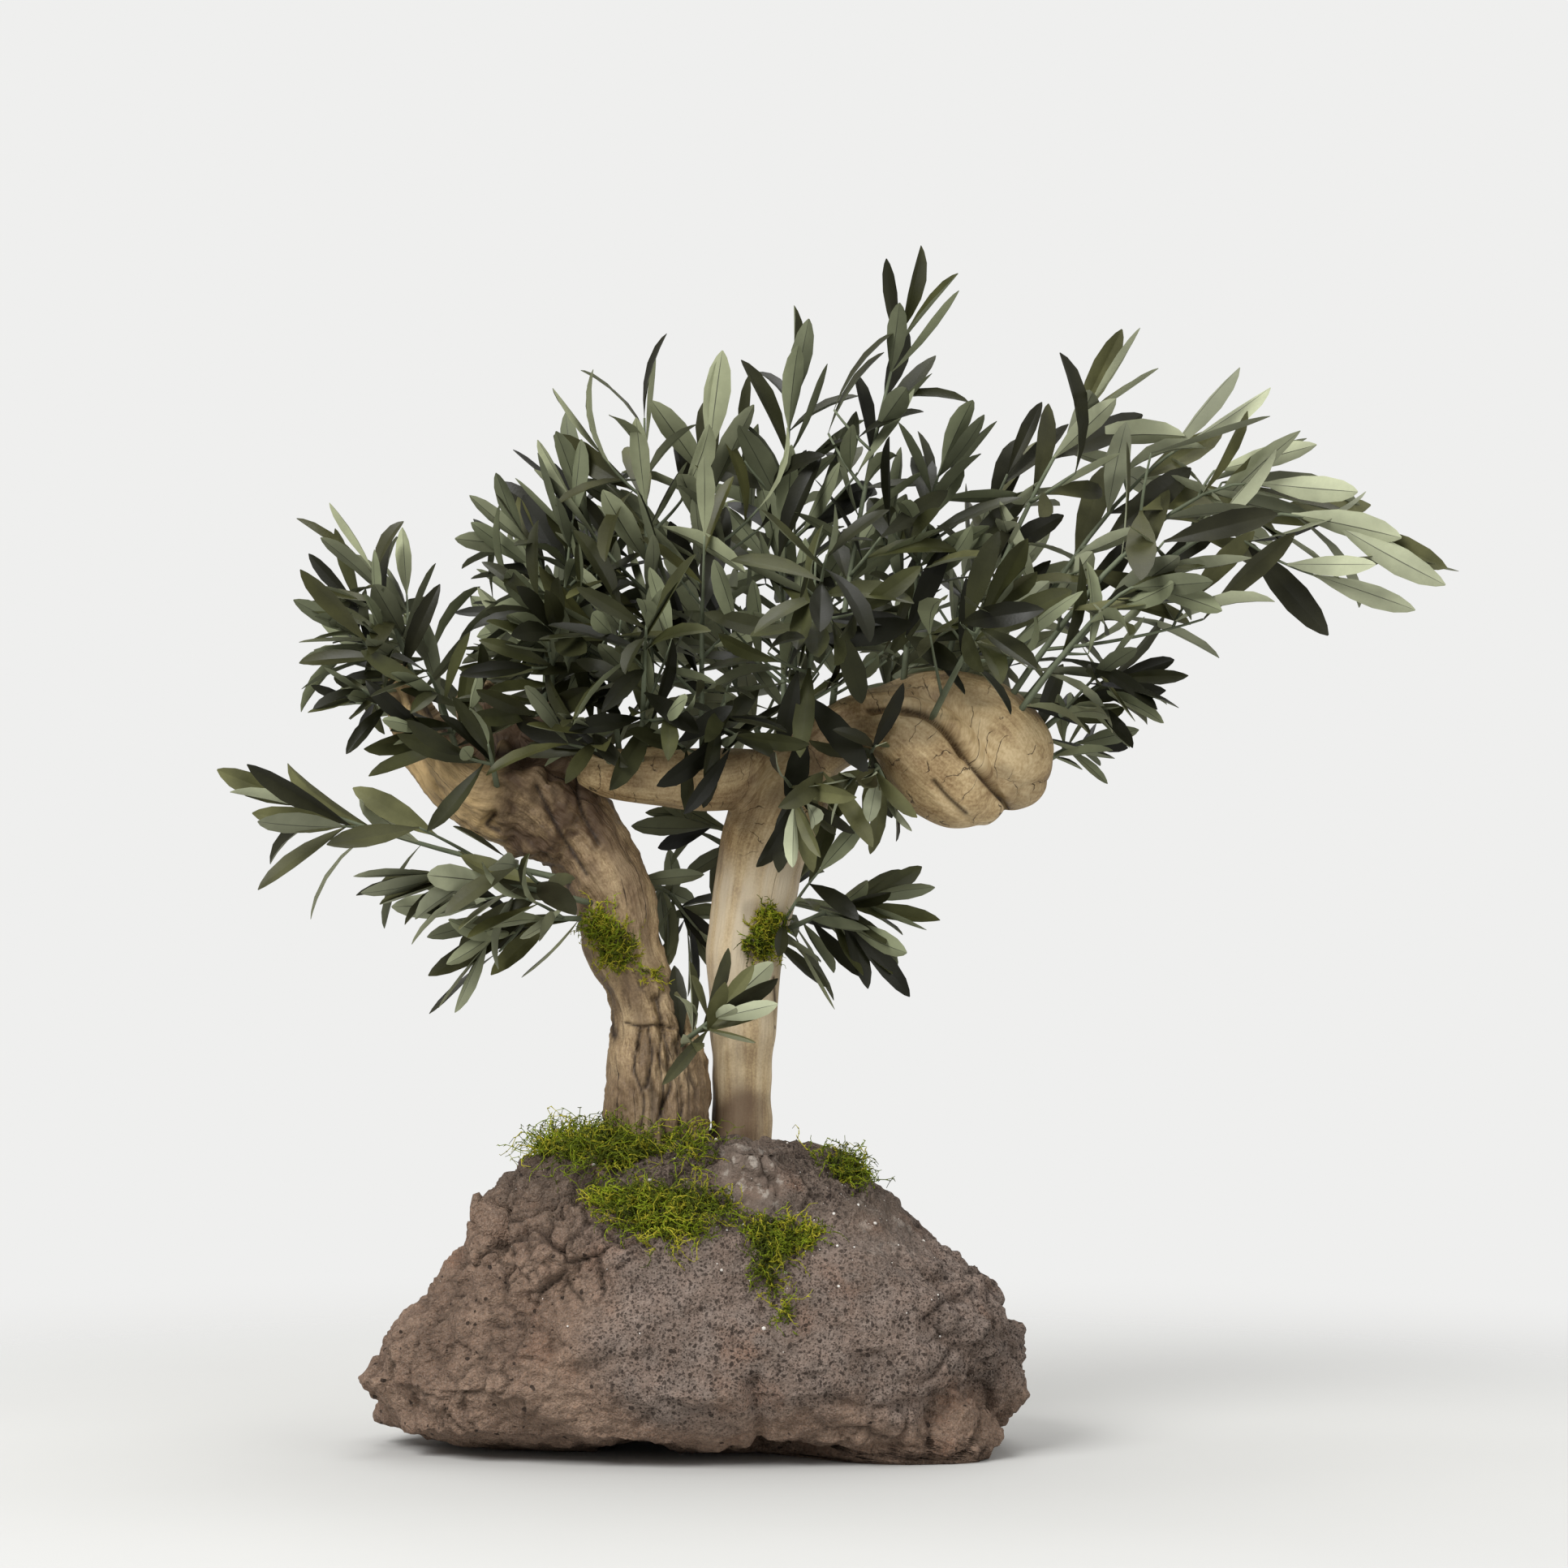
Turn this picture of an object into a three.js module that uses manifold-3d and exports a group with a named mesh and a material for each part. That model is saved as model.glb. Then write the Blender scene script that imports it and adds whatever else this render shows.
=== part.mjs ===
// Olive bonsai on a lava stone: two weathered stems stand in the top of a porous stone, their boughs carry
// sprays of preserved olive leaves, and tufts of moss lie on the stone and the stems.
// Millimetres, +Z up, +X to the viewer's right, +Y away from the viewer. The origin is on the stone's flat
// underside, below the joint of the two stems.
import * as THREE from "three";
import { mergeVertices } from "three/addons/utils/BufferGeometryUtils.js";
import Module from "manifold-3d";

const wasm = await Module();
wasm.setup();

// Fits
const CLEARANCE = 0.3; // gap between two pieces that meet
const LEAF_CLEARANCE = 0.4; // least gap from a leaf or twig to another spray or a limb

// Stone: the reach of its outline from the Z axis at each level, left, right, to the front and to the back
const STONE_LEVELS = [
  { z: 0, left: 122, right: 128, front: 26, back: 62 },
  { z: 6, left: 150, right: 144, front: 58, back: 76 },
  { z: 14, left: 174, right: 152, front: 86, back: 86 },
  { z: 39, left: 184, right: 156, front: 103, back: 97 },
  { z: 62, left: 168, right: 157, front: 102, back: 96 },
  { z: 76, left: 152, right: 151, front: 99, back: 93 },
  { z: 90, left: 139, right: 133, front: 95, back: 88 },
  { z: 112, left: 128, right: 111, front: 84, back: 77 },
  { z: 131, left: 117, right: 94, front: 68, back: 62 },
  { z: 150, left: 100, right: 72, front: 48, back: 45 },
  { z: 160, left: 66, right: 44, front: 31, back: 31 },
];
const STONE_TOP = 165; // highest point of the stone, between the stems
const STONE_SIDES = 42;
const STONE_RINGS = 15;
const STONE_SQUARENESS = 0.86; // 1 gives an ellipse in plan, less gives fuller corners
const STONE_RUGGED = 0.018; // share of the reach by which the broken surface waves
const STONE_SWELL = 6; // height of the broad swells on the stone's side
const STONE_SWELL_SIZE = 50; // from one swell to the next
// Lumps that stand out of the stone: centre and half sizes
const STONE_LUMPS = [
  { at: [101, -46, 12], half: [46, 27, 27] }, // toe under the right front corner
  { at: [24, -34, 145], half: [16, 15, 23] }, // mortar against the right stem's foot
  { at: [-22, -40, 146], half: [14, 11, 12] }, // chip bedded beside it
  { at: [130, -34, 79], half: [8, 10, 13] }, // crag on the right shoulder
  { at: [-115, -28, 121], half: [9, 11, 14] }, // crag on the left shoulder
];
const LUMP_SIDES = 8;
// Hollows under the stone, along Y: middle of the arch, half width, height, and how far it runs
const STONE_ARCHES = [
  { x: -38, halfWidth: 22, height: 10, from: -120, to: 120 },
  { x: 38, halfWidth: 24, height: 16, from: -120, to: -40 },
];
const ARCH_SIDES = 12;

// Limbs: points on the axis, [x, y, z, radius]. A limb's depth is its size towards the viewer over its width.
const STEM_FOOT = 150; // level of the flat cut under both stems
const LIMB_SIDES = 12;
const RINGS_PER_SPAN = 2;
const STEM_LEFT = {
  depth: 0.95,
  axis: [
    [-30, -4, STEM_FOOT, 30],
    [-30, -4, 172, 28],
    [-31, -4, 200, 26],
    [-35, -3, 228, 21],
    [-41, -3, 246, 18.5],
    [-48, -2, 264, 20],
    [-52, 0, 288, 21],
    [-67, 2, 316, 22],
    [-83, 5, 342, 20],
    [-88, 8, 366, 15],
    [-85, 10, 386, 8],
  ],
};
const STEM_RIGHT = {
  depth: 1,
  axis: [
    [14, 8, STEM_FOOT, 16],
    [14.5, 8, 190, 15.5],
    [15, 7, 225, 17.5],
    [15.5, 6, 252, 19.5],
    [20, 5, 285, 21],
    [26, 4, 315, 23],
    [37, 2, 341, 25],
    [46, 0, 358, 20],
    [50, 0, 370, 10],
  ],
};
const BOUGH_LEFT = {
  depth: 1.05,
  // a scooped hollow along the bough's upper front
  groove: { depth: 0.5, at: 0.95, width: 0.55, from: 0.3, to: 1 },
  axis: [
    [-78, 0, 318, 15],
    [-105, -3, 333, 20],
    [-131, -6, 349, 21.5],
    [-151, -6, 371, 17],
    [-161, -4, 393, 12],
    [-164, -3, 408, 5],
  ],
};
// Wood between the left bough and the stem, below the scoop
const BOUGH_LEFT_WEB = {
  depth: 0.8,
  axis: [
    [-72, -2, 316, 13],
    [-86, -4, 328, 23],
    [-104, -4, 347, 23],
    [-116, -2, 360, 15],
  ],
};
// Back wall of the scoop, between the bough's lip and the stem's top
const BOUGH_LEFT_WALL = {
  depth: 0.5,
  axis: [
    [-76, 4, 320, 17],
    [-97, 9, 345, 20],
    [-115, 13, 370, 20],
    [-126, 15, 394, 12],
  ],
};
const STUB_LEFT = {
  depth: 0.95,
  axis: [
    [36, 2, 352, 12],
    [6, -8, 349, 16],
    [-26, -16, 350, 15.5],
    [-52, -22, 352, 13.5],
    [-66, -25, 354, 9],
  ],
};
const BOUGH_RIGHT_ARM = {
  depth: 0.95,
  axis: [
    [42, 0, 352, 15],
    [64, 0, 371, 16.5],
    [86, 1, 382, 17],
    [104, 2, 384, 14],
  ],
};
const BOUGH_RIGHT_LOWER = {
  depth: 1,
  axis: [
    [76, -5, 376, 11],
    [96, -9, 374, 18],
    [114, -10, 360, 23],
    [130, -9, 346, 20],
    [143, -8, 338, 10],
  ],
};
const BOUGH_RIGHT_UPPER = {
  depth: 0.95,
  axis: [
    [80, 7, 386, 11],
    [108, 9, 386, 19],
    [135, 6, 376, 25],
    [150, 4, 361, 26],
    [157, 3, 351, 20],
    [160, 2, 345, 12],
  ],
};
const BOUGH_RIGHT_CORE = {
  depth: 1,
  axis: [
    [88, 1, 382, 14],
    [116, 0, 371, 20],
    [137, -1, 357, 20],
    [150, -2, 346, 14],
  ],
};

// Sprays of leaves: the limb that each grows from, a point inside that limb, the point its stem bends
// towards, the tip of its last leaf, the number of side twigs, and the length of its leaves
const SPRAYS = {
  left_high: ["bough_left", [-150, -3, 381], [-170, -4, 440], [-196, -8, 497], 2, 48],
  left_mid: ["bough_left", [-158, -2, 390], [-180, 6, 432], [-214, 12, 468], 1, 46],
  left_outer: ["bough_left", [-160, -5, 394], [-184, -10, 424], [-219, -14, 443], 1, 44],
  left_droop: ["bough_left", [-164, -8, 386], [-184, -24, 396], [-206, -40, 394], 1, 34],
  left_front: ["bough_left", [-132, -10, 356], [-142, -40, 400], [-160, -86, 416], 2, 46],
  left_back: ["bough_left", [-140, 0, 366], [-150, 40, 420], [-172, 92, 446], 3, 50],
  left_inner: ["bough_left", [-112, -18, 342], [-114, -44, 360], [-118, -86, 388], 2, 44],
  shoulder_low: ["stem_left", [-90, 6, 368], [-84, 4, 470], [-137, -12, 475], 2, 50],
  shoulder_mid: ["stem_left", [-86, 13, 377], [-74, 24, 480], [-117, 24, 507], 2, 50],
  shoulder_high: ["stem_left", [-84, 9, 381], [-78, -12, 450], [-68, -22, 526], 3, 50],
  shoulder_back: ["stem_left", [-86, 12, 368], [-90, 60, 440], [-104, 122, 462], 3, 52],
  shoulder_front: ["stem_left", [-86, 4, 362], [-82, -50, 420], [-76, -106, 436], 2, 48],
  stub_left: ["stub_left", [-48, -20, 355], [-60, -2, 450], [-81, 12, 543], 4, 52],
  stub_high: ["stub_left", [-30, -16, 355], [-36, -20, 470], [-36, -22, 583], 4, 54],
  stub_front: ["stub_left", [-38, -22, 350], [-34, -80, 420], [-30, -132, 446], 2, 50],
  stub_low: ["stub_left", [-50, -22, 352], [-62, -60, 374], [-76, -98, 390], 1, 44],
  stub_right: ["stub_left", [-6, -10, 353], [-8, -2, 460], [2, 4, 574], 3, 54],
  fork_front: ["stub_left", [-8, -12, 352], [4, -56, 384], [14, -102, 402], 1, 46],
  crown_left: ["stem_right", [37, 2, 360], [34, 6, 480], [45, 10, 599], 4, 54],
  crown_top: ["bough_right", [60, 0, 372], [74, -2, 500], [111, -8, 628], 3, 54],
  crown_front: ["stem_right", [44, -6, 358], [54, -80, 450], [66, -136, 486], 3, 52],
  crown_back: ["stem_right", [43, 8, 358], [42, 70, 470], [34, 132, 520], 3, 54],
  crown_rear: ["stem_right", [34, 12, 348], [4, 70, 420], [-34, 122, 462], 3, 52],
  fork_hang: ["stem_right", [40, -20, 348], [42, -50, 344], [40, -68, 304], 1, 42],
  knob_rise: ["bough_right", [98, 6, 388], [106, -6, 480], [134, -22, 552], 3, 52],
  knob_mid: ["bough_right", [116, 12, 388], [140, 30, 480], [174, 34, 551], 3, 52],
  knob_high: ["bough_right", [124, 6, 388], [160, 2, 500], [227, -4, 583], 3, 58],
  knob_far: ["bough_right", [138, 10, 380], [200, 14, 500], [295, 18, 552], 3, 60],
  knob_reach: ["bough_right", [144, -2, 376], [230, -8, 510], [337, -12, 498], 2, 62],
  knob_long: ["bough_right", [148, 4, 372], [262, -2, 524], [383, -14, 447], 2, 66],
  knob_outer: ["bough_right", [146, -6, 366], [206, -30, 452], [265, -48, 440], 1, 56],
  knob_low: ["bough_right", [158, 4, 364], [204, 4, 402], [249, 2, 406], 1, 46],
  knob_droop: ["bough_right", [172, 12, 358], [194, 28, 370], [220, 42, 366], 1, 34],
  knob_front: ["bough_right", [110, -12, 374], [136, -80, 430], [164, -128, 456], 3, 54],
  knob_back: ["bough_right", [122, 14, 380], [146, 76, 440], [176, 128, 482], 3, 54],
  knob_rear: ["bough_right", [90, 8, 384], [96, 80, 430], [104, 134, 452], 2, 52],
  under_hang: ["bough_right", [78, -8, 368], [86, -34, 354], [104, -44, 320], 2, 40],
  low_left: ["stem_left", [-62, -8, 294], [-150, -20, 312], [-258, -26, 354], 1, 60],
  low_left_mid: ["stem_left", [-60, -12, 284], [-120, -40, 300], [-184, -60, 302], 2, 50],
  low_left_droop: ["stem_left", [-56, -6, 276], [-112, -20, 280], [-133, -30, 228], 2, 50],
  crotch: ["stem_left", [-24, -10, 206], [0, -38, 226], [34, -52, 234], 2, 44],
  low_right: ["stem_right", [20, 2, 262], [60, -6, 282], [114, -16, 297], 3, 46],
  between: ["stem_left", [-52, 8, 296], [-18, 44, 296], [-11, 46, 234], 2, 44],
  between_high: ["stem_right", [20, 10, 312], [-4, 44, 330], [-30, 70, 322], 1, 44],
  low_back: ["stem_right", [18, 12, 258], [34, 54, 286], [52, 92, 292], 2, 48],
};
const STEM_RADIUS = 2.8; // spray's stem where it leaves the limb
const TWIG_RADIUS = 1.3; // of a side twig, and of a stem at its tip
const TWIG_SIDES = 3;
const STEM_RUNS = 3; // straight runs in the bend of a stem
const NODE_PITCH = 29; // from one pair of leaves to the next
const BARE_SHARE = 0.14; // of a stem, from the limb to its first leaves
const SIDE_TWIG_SHARE = 0.5; // length of a side twig over the rest of its stem's
const SIDE_TWIG_OPEN = 0.65; // angle between a side twig and its stem, in radians
const LEAF_OPEN = 0.72; // angle between a leaf and its twig, in radians
const LEAF_WIDTH_SHARE = 0.33; // width over length
const LEAF_KEEL = 2; // from the keel under a leaf to its edges
const LEAF_SUNK = 0.4; // depth of a leaf's root past the twig's axis
const BLADE_FROM = 0.14; // share of a leaf's length that may lie against its own spray
const TIP_LEAF_SHARE = 0.85; // how much of a stem's last leaf stands past its end
const TIP_LEAF_SUNK = 4; // depth of the last leaf's root in the twig's end
const SPACE_HALF_WIDTH = 62; // of the space that a spray keeps to, about its stem
const SPACE_SHARE = 0.52; // and no more than this of the stem's length
const SPACE_STEPS = 10; // points on the stem at which that space is measured
const SPACE_TAPER = 5; // how bluntly that space closes at the tip
const GOLDEN_ANGLE = Math.PI * (3 - Math.sqrt(5));

// Moss: what carries each tuft, a point on that surface, half sizes along the surface, and its height
const MOSS_TUFTS = {
  moss_foot: ["stone", [-64, -10, 164], [27, 20], 15],
  moss_front: ["stone", [-28, -62, 134], [33, 19], 9],
  moss_trail: ["stone", [33, -78, 112], [19, 22], 7],
  moss_right: ["stone", [66, -22, 147], [14, 12], 8],
  moss_stem_left: ["stem_left", [-48, -24, 264], [21, 15], 6],
  moss_stem_right: ["stem_right", [28, -12, 266], [9, 14], 5],
};
const MOSS_SIDES = 9;
const MOSS_BANDS = 5;
const MOSS_RAGGED = 0.28; // share by which a tuft's strands reach past its mean outline

const LOOKS = {
  stone: { color: 0x74655b, roughness: 0.95 },
  barkwood: { color: 0x8f7c63, roughness: 0.85 },
  barewood: { color: 0xb59f7c, roughness: 0.6 },
  leaf: { color: 0x4a5443, roughness: 0.55 },
  moss: { color: 0x5f6a1c, roughness: 0.95 },
};
const materials = Object.fromEntries(
  Object.entries(LOOKS).map(([name, look]) => [
    name,
    new THREE.MeshStandardMaterial({ ...look, metalness: 0 }),
  ]),
);

// A repeatable number from 0 to 1 for a pair of whole numbers.
function chance(seed, index) {
  const wave = Math.sin(seed * 12.9898 + index * 78.233) * 43758.5453;
  return wave - Math.floor(wave);
}

// A repeatable number from 0 to 1 at a whole-number point of space.
function lattice([x, y, z], seed) {
  const wave = Math.sin(127.1 * x + 311.7 * y + 74.7 * z + 53.9 * seed) * 43758.5453;
  return wave - Math.floor(wave);
}

function smoothStep(value, low, high) {
  const share = Math.min(Math.max((value - low) / (high - low), 0), 1);
  return share * share * (3 - 2 * share);
}

// Smooth noise from -1 to 1: numbers at the corners of cells of that size, blended by a smooth step.
function noise(point, size, seed) {
  const scaled = point.map((value) => value / size + 0.37 * seed);
  const cell = scaled.map(Math.floor);
  const share = scaled.map((value, i) => smoothStep(value - cell[i], 0, 1));
  let total = 0;
  for (let k = 0; k < 8; k += 1) {
    const corner = [k & 1, (k >> 1) & 1, k >> 2];
    const weights = corner.map((far, i) => (far ? share[i] : 1 - share[i]));
    const there = cell.map((value, i) => value + corner[i]);
    total += weights[0] * weights[1] * weights[2] * lattice(there, seed);
  }
  return 2 * total - 1;
}

// A closed three.js geometry as a solid that can be joined and cut.
function solidOf(geometry) {
  const bare = geometry.clone();
  bare.deleteAttribute("normal");
  bare.deleteAttribute("uv");
  const merged = mergeVertices(bare, 1e-4);
  return new wasm.Manifold(
    new wasm.Mesh({
      numProp: 3,
      vertProperties: merged.attributes.position.array,
      triVerts: new Uint32Array(merged.index.array),
    }),
  );
}

// The largest body of a solid: loose scraps are dropped and sealed hollows filled.
function largestBody(solid) {
  return solid
    .decompose()
    .reduce((best, body) => (body.volume() > best.volume() ? body : best));
}

function fused(solids) {
  return solids.reduce((whole, solid) => whole.add(solid));
}

// A solid as a named mesh.
function meshOf(name, solid, material) {
  const { vertProperties, triVerts } = solid.getMesh();
  const geometry = new THREE.BufferGeometry();
  geometry.setAttribute(
    "position",
    new THREE.BufferAttribute(new Float32Array(vertProperties), 3),
  );
  geometry.setIndex(new THREE.BufferAttribute(new Uint32Array(triVerts), 1));
  geometry.computeVertexNormals();
  const mesh = new THREE.Mesh(geometry, material);
  mesh.name = name;
  return mesh;
}

// Moves every vertex of a geometry to place(vertex).
function warp(geometry, place) {
  const position = geometry.attributes.position;
  const vertex = new THREE.Vector3();
  for (let i = 0; i < position.count; i += 1) {
    const moved = place(vertex.fromBufferAttribute(position, i).clone());
    position.setXYZ(i, moved.x, moved.y, moved.z);
  }
  return geometry;
}

// Straight-line value of a field of the stone's levels at height z.
function stoneReach(z, field) {
  const above = STONE_LEVELS.findIndex((level) => level.z >= z);
  if (above === 0) return STONE_LEVELS[0][field];
  if (above < 0) return STONE_LEVELS.at(-1)[field];
  const [low, high] = [STONE_LEVELS[above - 1], STONE_LEVELS[above]];
  const share = (z - low.z) / (high.z - low.z);
  return low[field] + share * (high[field] - low[field]);
}

// Shape of the stone's section: a full ellipse whose four quarters have their own reach, with a rugged edge.
function stoneEdge(z, angle) {
  const [c, s] = [Math.cos(angle), Math.sin(angle)];
  const rugged =
    1 +
    STONE_RUGGED *
      (Math.sin(5 * angle + z / 17) +
        Math.sin(9 * angle - z / 11) +
        Math.sin(14 * angle + z / 7));
  const full = (share) =>
    Math.sign(share) * Math.abs(share) ** STONE_SQUARENESS * rugged;
  return [
    full(c) * stoneReach(z, c < 0 ? "left" : "right"),
    full(s) * stoneReach(z, s < 0 ? "front" : "back"),
  ];
}

// How far a broad swell moves the stone's side out: none at its foot and its top.
function stoneSwell(x, y, z) {
  const top = STONE_LEVELS.at(-1).z;
  const fade = smoothStep(z, 2, 14) * smoothStep(top - z, 2, 20);
  return STONE_SWELL * fade * noise([x, y, z], STONE_SWELL_SIZE, 1);
}

// The stone's body, with its surface moved out by swell.
function stoneBody(swell) {
  const top = STONE_LEVELS.at(-1).z;
  const drum = new THREE.CylinderGeometry(1, 1, 1, STONE_SIDES, STONE_RINGS);
  return solidOf(
    warp(drum, ({ x, y, z }) => {
      const share = y + 0.5;
      // rings crowd towards the foot, where the outline turns under
      const height = top * share ** 1.25;
      if (x * x + z * z < 0.25)
        return new THREE.Vector3(0, 0, share > 0.5 ? STONE_TOP + swell : -swell);
      const [edgeX, edgeY] = stoneEdge(height, Math.atan2(-z, x));
      const reach = Math.hypot(edgeX, edgeY);
      const grown = 1 + (swell + stoneSwell(edgeX, edgeY, height)) / reach;
      const lift = share > 0.99 ? swell : share < 0.01 ? -swell : 0;
      return new THREE.Vector3(edgeX * grown, edgeY * grown, height + lift);
    }),
  );
}

function lump({ at, half }, swell) {
  const ball = new THREE.SphereGeometry(1, LUMP_SIDES, LUMP_SIDES / 2);
  ball.scale(half[0] + swell, half[1] + swell, half[2] + swell);
  return solidOf(ball.translate(...at));
}

function arch({ x, halfWidth, height, from, to }) {
  const vault = new THREE.CylinderGeometry(1, 1, to - from, ARCH_SIDES);
  vault.scale(halfWidth, 1, height);
  return solidOf(vault.translate(x, (from + to) / 2, 0));
}

// A wide block that fills everything under the ground.
function underGround() {
  const [span, depth] = [600, 100];
  return solidOf(
    new THREE.BoxGeometry(span, span, depth).translate(0, 0, -depth / 2),
  );
}

function stone(swell = 0) {
  const body = fused([
    stoneBody(swell),
    ...STONE_LUMPS.map((each) => lump(each, swell)),
  ]);
  return STONE_ARCHES.map(arch).reduce(
    (solid, each) => solid.subtract(each),
    body.subtract(underGround()),
  );
}

// A limb's axis as a curve, with the radius at each share of its length.
function limbAxis({ axis }) {
  const curve = new THREE.CatmullRomCurve3(
    axis.map(([x, y, z]) => new THREE.Vector3(x, y, z)),
    false,
    "catmullrom",
    0.5,
  );
  const radii = new THREE.CatmullRomCurve3(
    axis.map((station) => new THREE.Vector3(station[3], 0, 0)),
    false,
    "catmullrom",
    0.5,
  );
  return { curve, radius: (t) => radii.getPoint(t).x };
}

// Share of the radius that a limb's groove leaves at an angle round the limb.
function grooveShare(groove, t, angle) {
  if (!groove || t < groove.from || t > groove.to) return 1;
  const along = Math.sin((Math.PI * (t - groove.from)) / (groove.to - groove.from));
  const aside = (angle - groove.at) / groove.width;
  return 1 - groove.depth * along * Math.exp(-aside * aside);
}

// A tapering limb, with its surface moved out by swell.
function limb(shape, swell = 0) {
  const { curve, radius } = limbAxis(shape);
  const rings = (shape.axis.length - 1) * RINGS_PER_SPAN;
  const towardsBack = new THREE.Vector3(0, 1, 0);
  const drum = new THREE.CylinderGeometry(1, 1, 1, LIMB_SIDES, rings);
  return solidOf(
    warp(drum, ({ x, y, z }) => {
      const t = y + 0.5;
      const along = curve.getTangent(t);
      const back = towardsBack.clone().addScaledVector(along, -along.y).normalize();
      const side = new THREE.Vector3().crossVectors(along, back);
      const angle = Math.atan2(x, -z); // 0 faces the viewer
      const size = radius(t) * grooveShare(shape.groove, t, angle) + swell;
      const end = t < 0.001 ? -swell : t > 0.999 ? swell : 0;
      return curve
        .getPoint(t)
        .addScaledVector(along, end)
        .addScaledVector(back, z * size * shape.depth)
        .addScaledVector(side, x * size);
    }),
  );
}

// A direction that leaves `along` by the angle `open`, turned round it by `turn`.
function branchOff(along, open, turn) {
  const level = new THREE.Vector3().crossVectors(along, new THREE.Vector3(0, 0, 1));
  if (level.length() < 0.05) level.set(1, 0, 0);
  level.normalize();
  const rise = new THREE.Vector3().crossVectors(level, along);
  return along
    .clone()
    .multiplyScalar(Math.cos(open))
    .addScaledVector(level, Math.sin(open) * Math.cos(turn))
    .addScaledVector(rise, Math.sin(open) * Math.sin(turn))
    .normalize();
}

// The lines of a spray: its stem and, branching from it by the golden angle, its side twigs.
function sprayTwigs([, rootAt, bendAt, tipAt, sideTwigs, leafLength], seed) {
  const root = new THREE.Vector3(...rootAt);
  const bend = new THREE.Vector3(...bendAt);
  const tip = new THREE.Vector3(...tipAt);
  const last = new THREE.Vector3().subVectors(tip, bend).normalize();
  const end = tip.clone().addScaledVector(last, -TIP_LEAF_SHARE * leafLength);
  const curve = new THREE.QuadraticBezierCurve3(root, bend, end);
  const length = curve.getLength() + TIP_LEAF_SHARE * leafLength;
  const halfWidth = Math.min(SPACE_HALF_WIDTH, SPACE_SHARE * length);
  const space = { line: [...curve.getPoints(SPACE_STEPS), tip], tip, last, halfWidth };
  const stem = { curve, runs: STEM_RUNS, length, radius: STEM_RADIUS, space, tip };
  const sides = Array.from({ length: sideTwigs }, (_, k) => {
    const t = 0.15 + (0.55 * (k + 0.4 * chance(seed, 10 + k))) / sideTwigs;
    const base = onTwig(stem, t);
    const along = stem.curve.getTangent(t);
    const turn = GOLDEN_ANGLE * k + 2 * Math.PI * chance(seed, 2);
    const open = SIDE_TWIG_OPEN * (0.85 + 0.3 * chance(seed, 20 + k));
    const out = branchOff(along, open, turn);
    const reach = (1 - t) * length * SIDE_TWIG_SHARE * (0.8 + 0.4 * chance(seed, 30 + k));
    return {
      curve: new THREE.LineCurve3(base, base.clone().addScaledVector(out, reach)),
      runs: 1,
      length: reach,
      radius: TWIG_RADIUS,
      space,
      tip: null,
    };
  });
  return [stem, ...sides];
}

// A point on the straight run of a twig that holds the share t of its line.
function onTwig({ curve, runs }, t) {
  const run = Math.min(Math.floor(t * runs), runs - 1);
  const from = curve.getPoint(run / runs);
  return from.lerp(curve.getPoint((run + 1) / runs), t * runs - run);
}

// The leaves of a twig: one leaf at the tip, and opposite pairs, each a quarter turn on from the last.
function twigLeaves(twig, leafLength, seed) {
  const end = twig.curve.getPoint(1);
  const onward = end.clone().sub(onTwig(twig, 1 - 1 / twig.runs)).normalize();
  const tipRoot = end.clone().addScaledVector(onward, -TIP_LEAF_SUNK);
  const tip = twig.tip ?? end.clone().addScaledVector(onward, TIP_LEAF_SHARE * leafLength);
  const leaves = [
    {
      root: tipRoot,
      along: branchOff(onward, 0.6, 2 * Math.PI * chance(seed, 4)),
      out: tip.clone().sub(tipRoot).normalize(),
      length: tip.distanceTo(tipRoot),
    },
  ];
  const pairs = Math.max(2, Math.round(((1 - BARE_SHARE) * twig.length) / NODE_PITCH));
  for (let pair = 0; pair < pairs; pair += 1) {
    const t = BARE_SHARE + ((1 - BARE_SHARE) * (pair + 0.35)) / pairs;
    const along = twig.curve.getTangent(t);
    for (const side of [0, 1]) {
      const draw = 100 + 2 * pair + side;
      const quarters = 2 * side + pair + 2 * chance(seed, 3);
      const turn = (Math.PI / 2) * quarters + 0.5 * (chance(seed, draw) - 0.5);
      const open = LEAF_OPEN * (0.75 + 0.5 * chance(seed, 200 + draw));
      leaves.push({
        root: onTwig(twig, t),
        along,
        out: branchOff(along, open, turn),
        length: leafLength * (0.85 + 0.3 * chance(seed, 400 + draw)),
      });
    }
  }
  return leaves;
}

// Whether a leaf ends inside its spray's space: a lance about the stem that closes at the tip.
function keepsToSpace({ line, tip, last, halfWidth }, leaf) {
  const end = leaf.out.clone().multiplyScalar(leaf.length).add(leaf.root);
  if (end.clone().sub(tip).dot(last) > 0.01) return false;
  const away = line.map((point) => point.distanceTo(end));
  const aside = Math.min(...away);
  const share = away.indexOf(aside) / (line.length - 1);
  return aside < halfWidth * Math.min(1, SPACE_TAPER * (1.12 - share));
}

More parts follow.
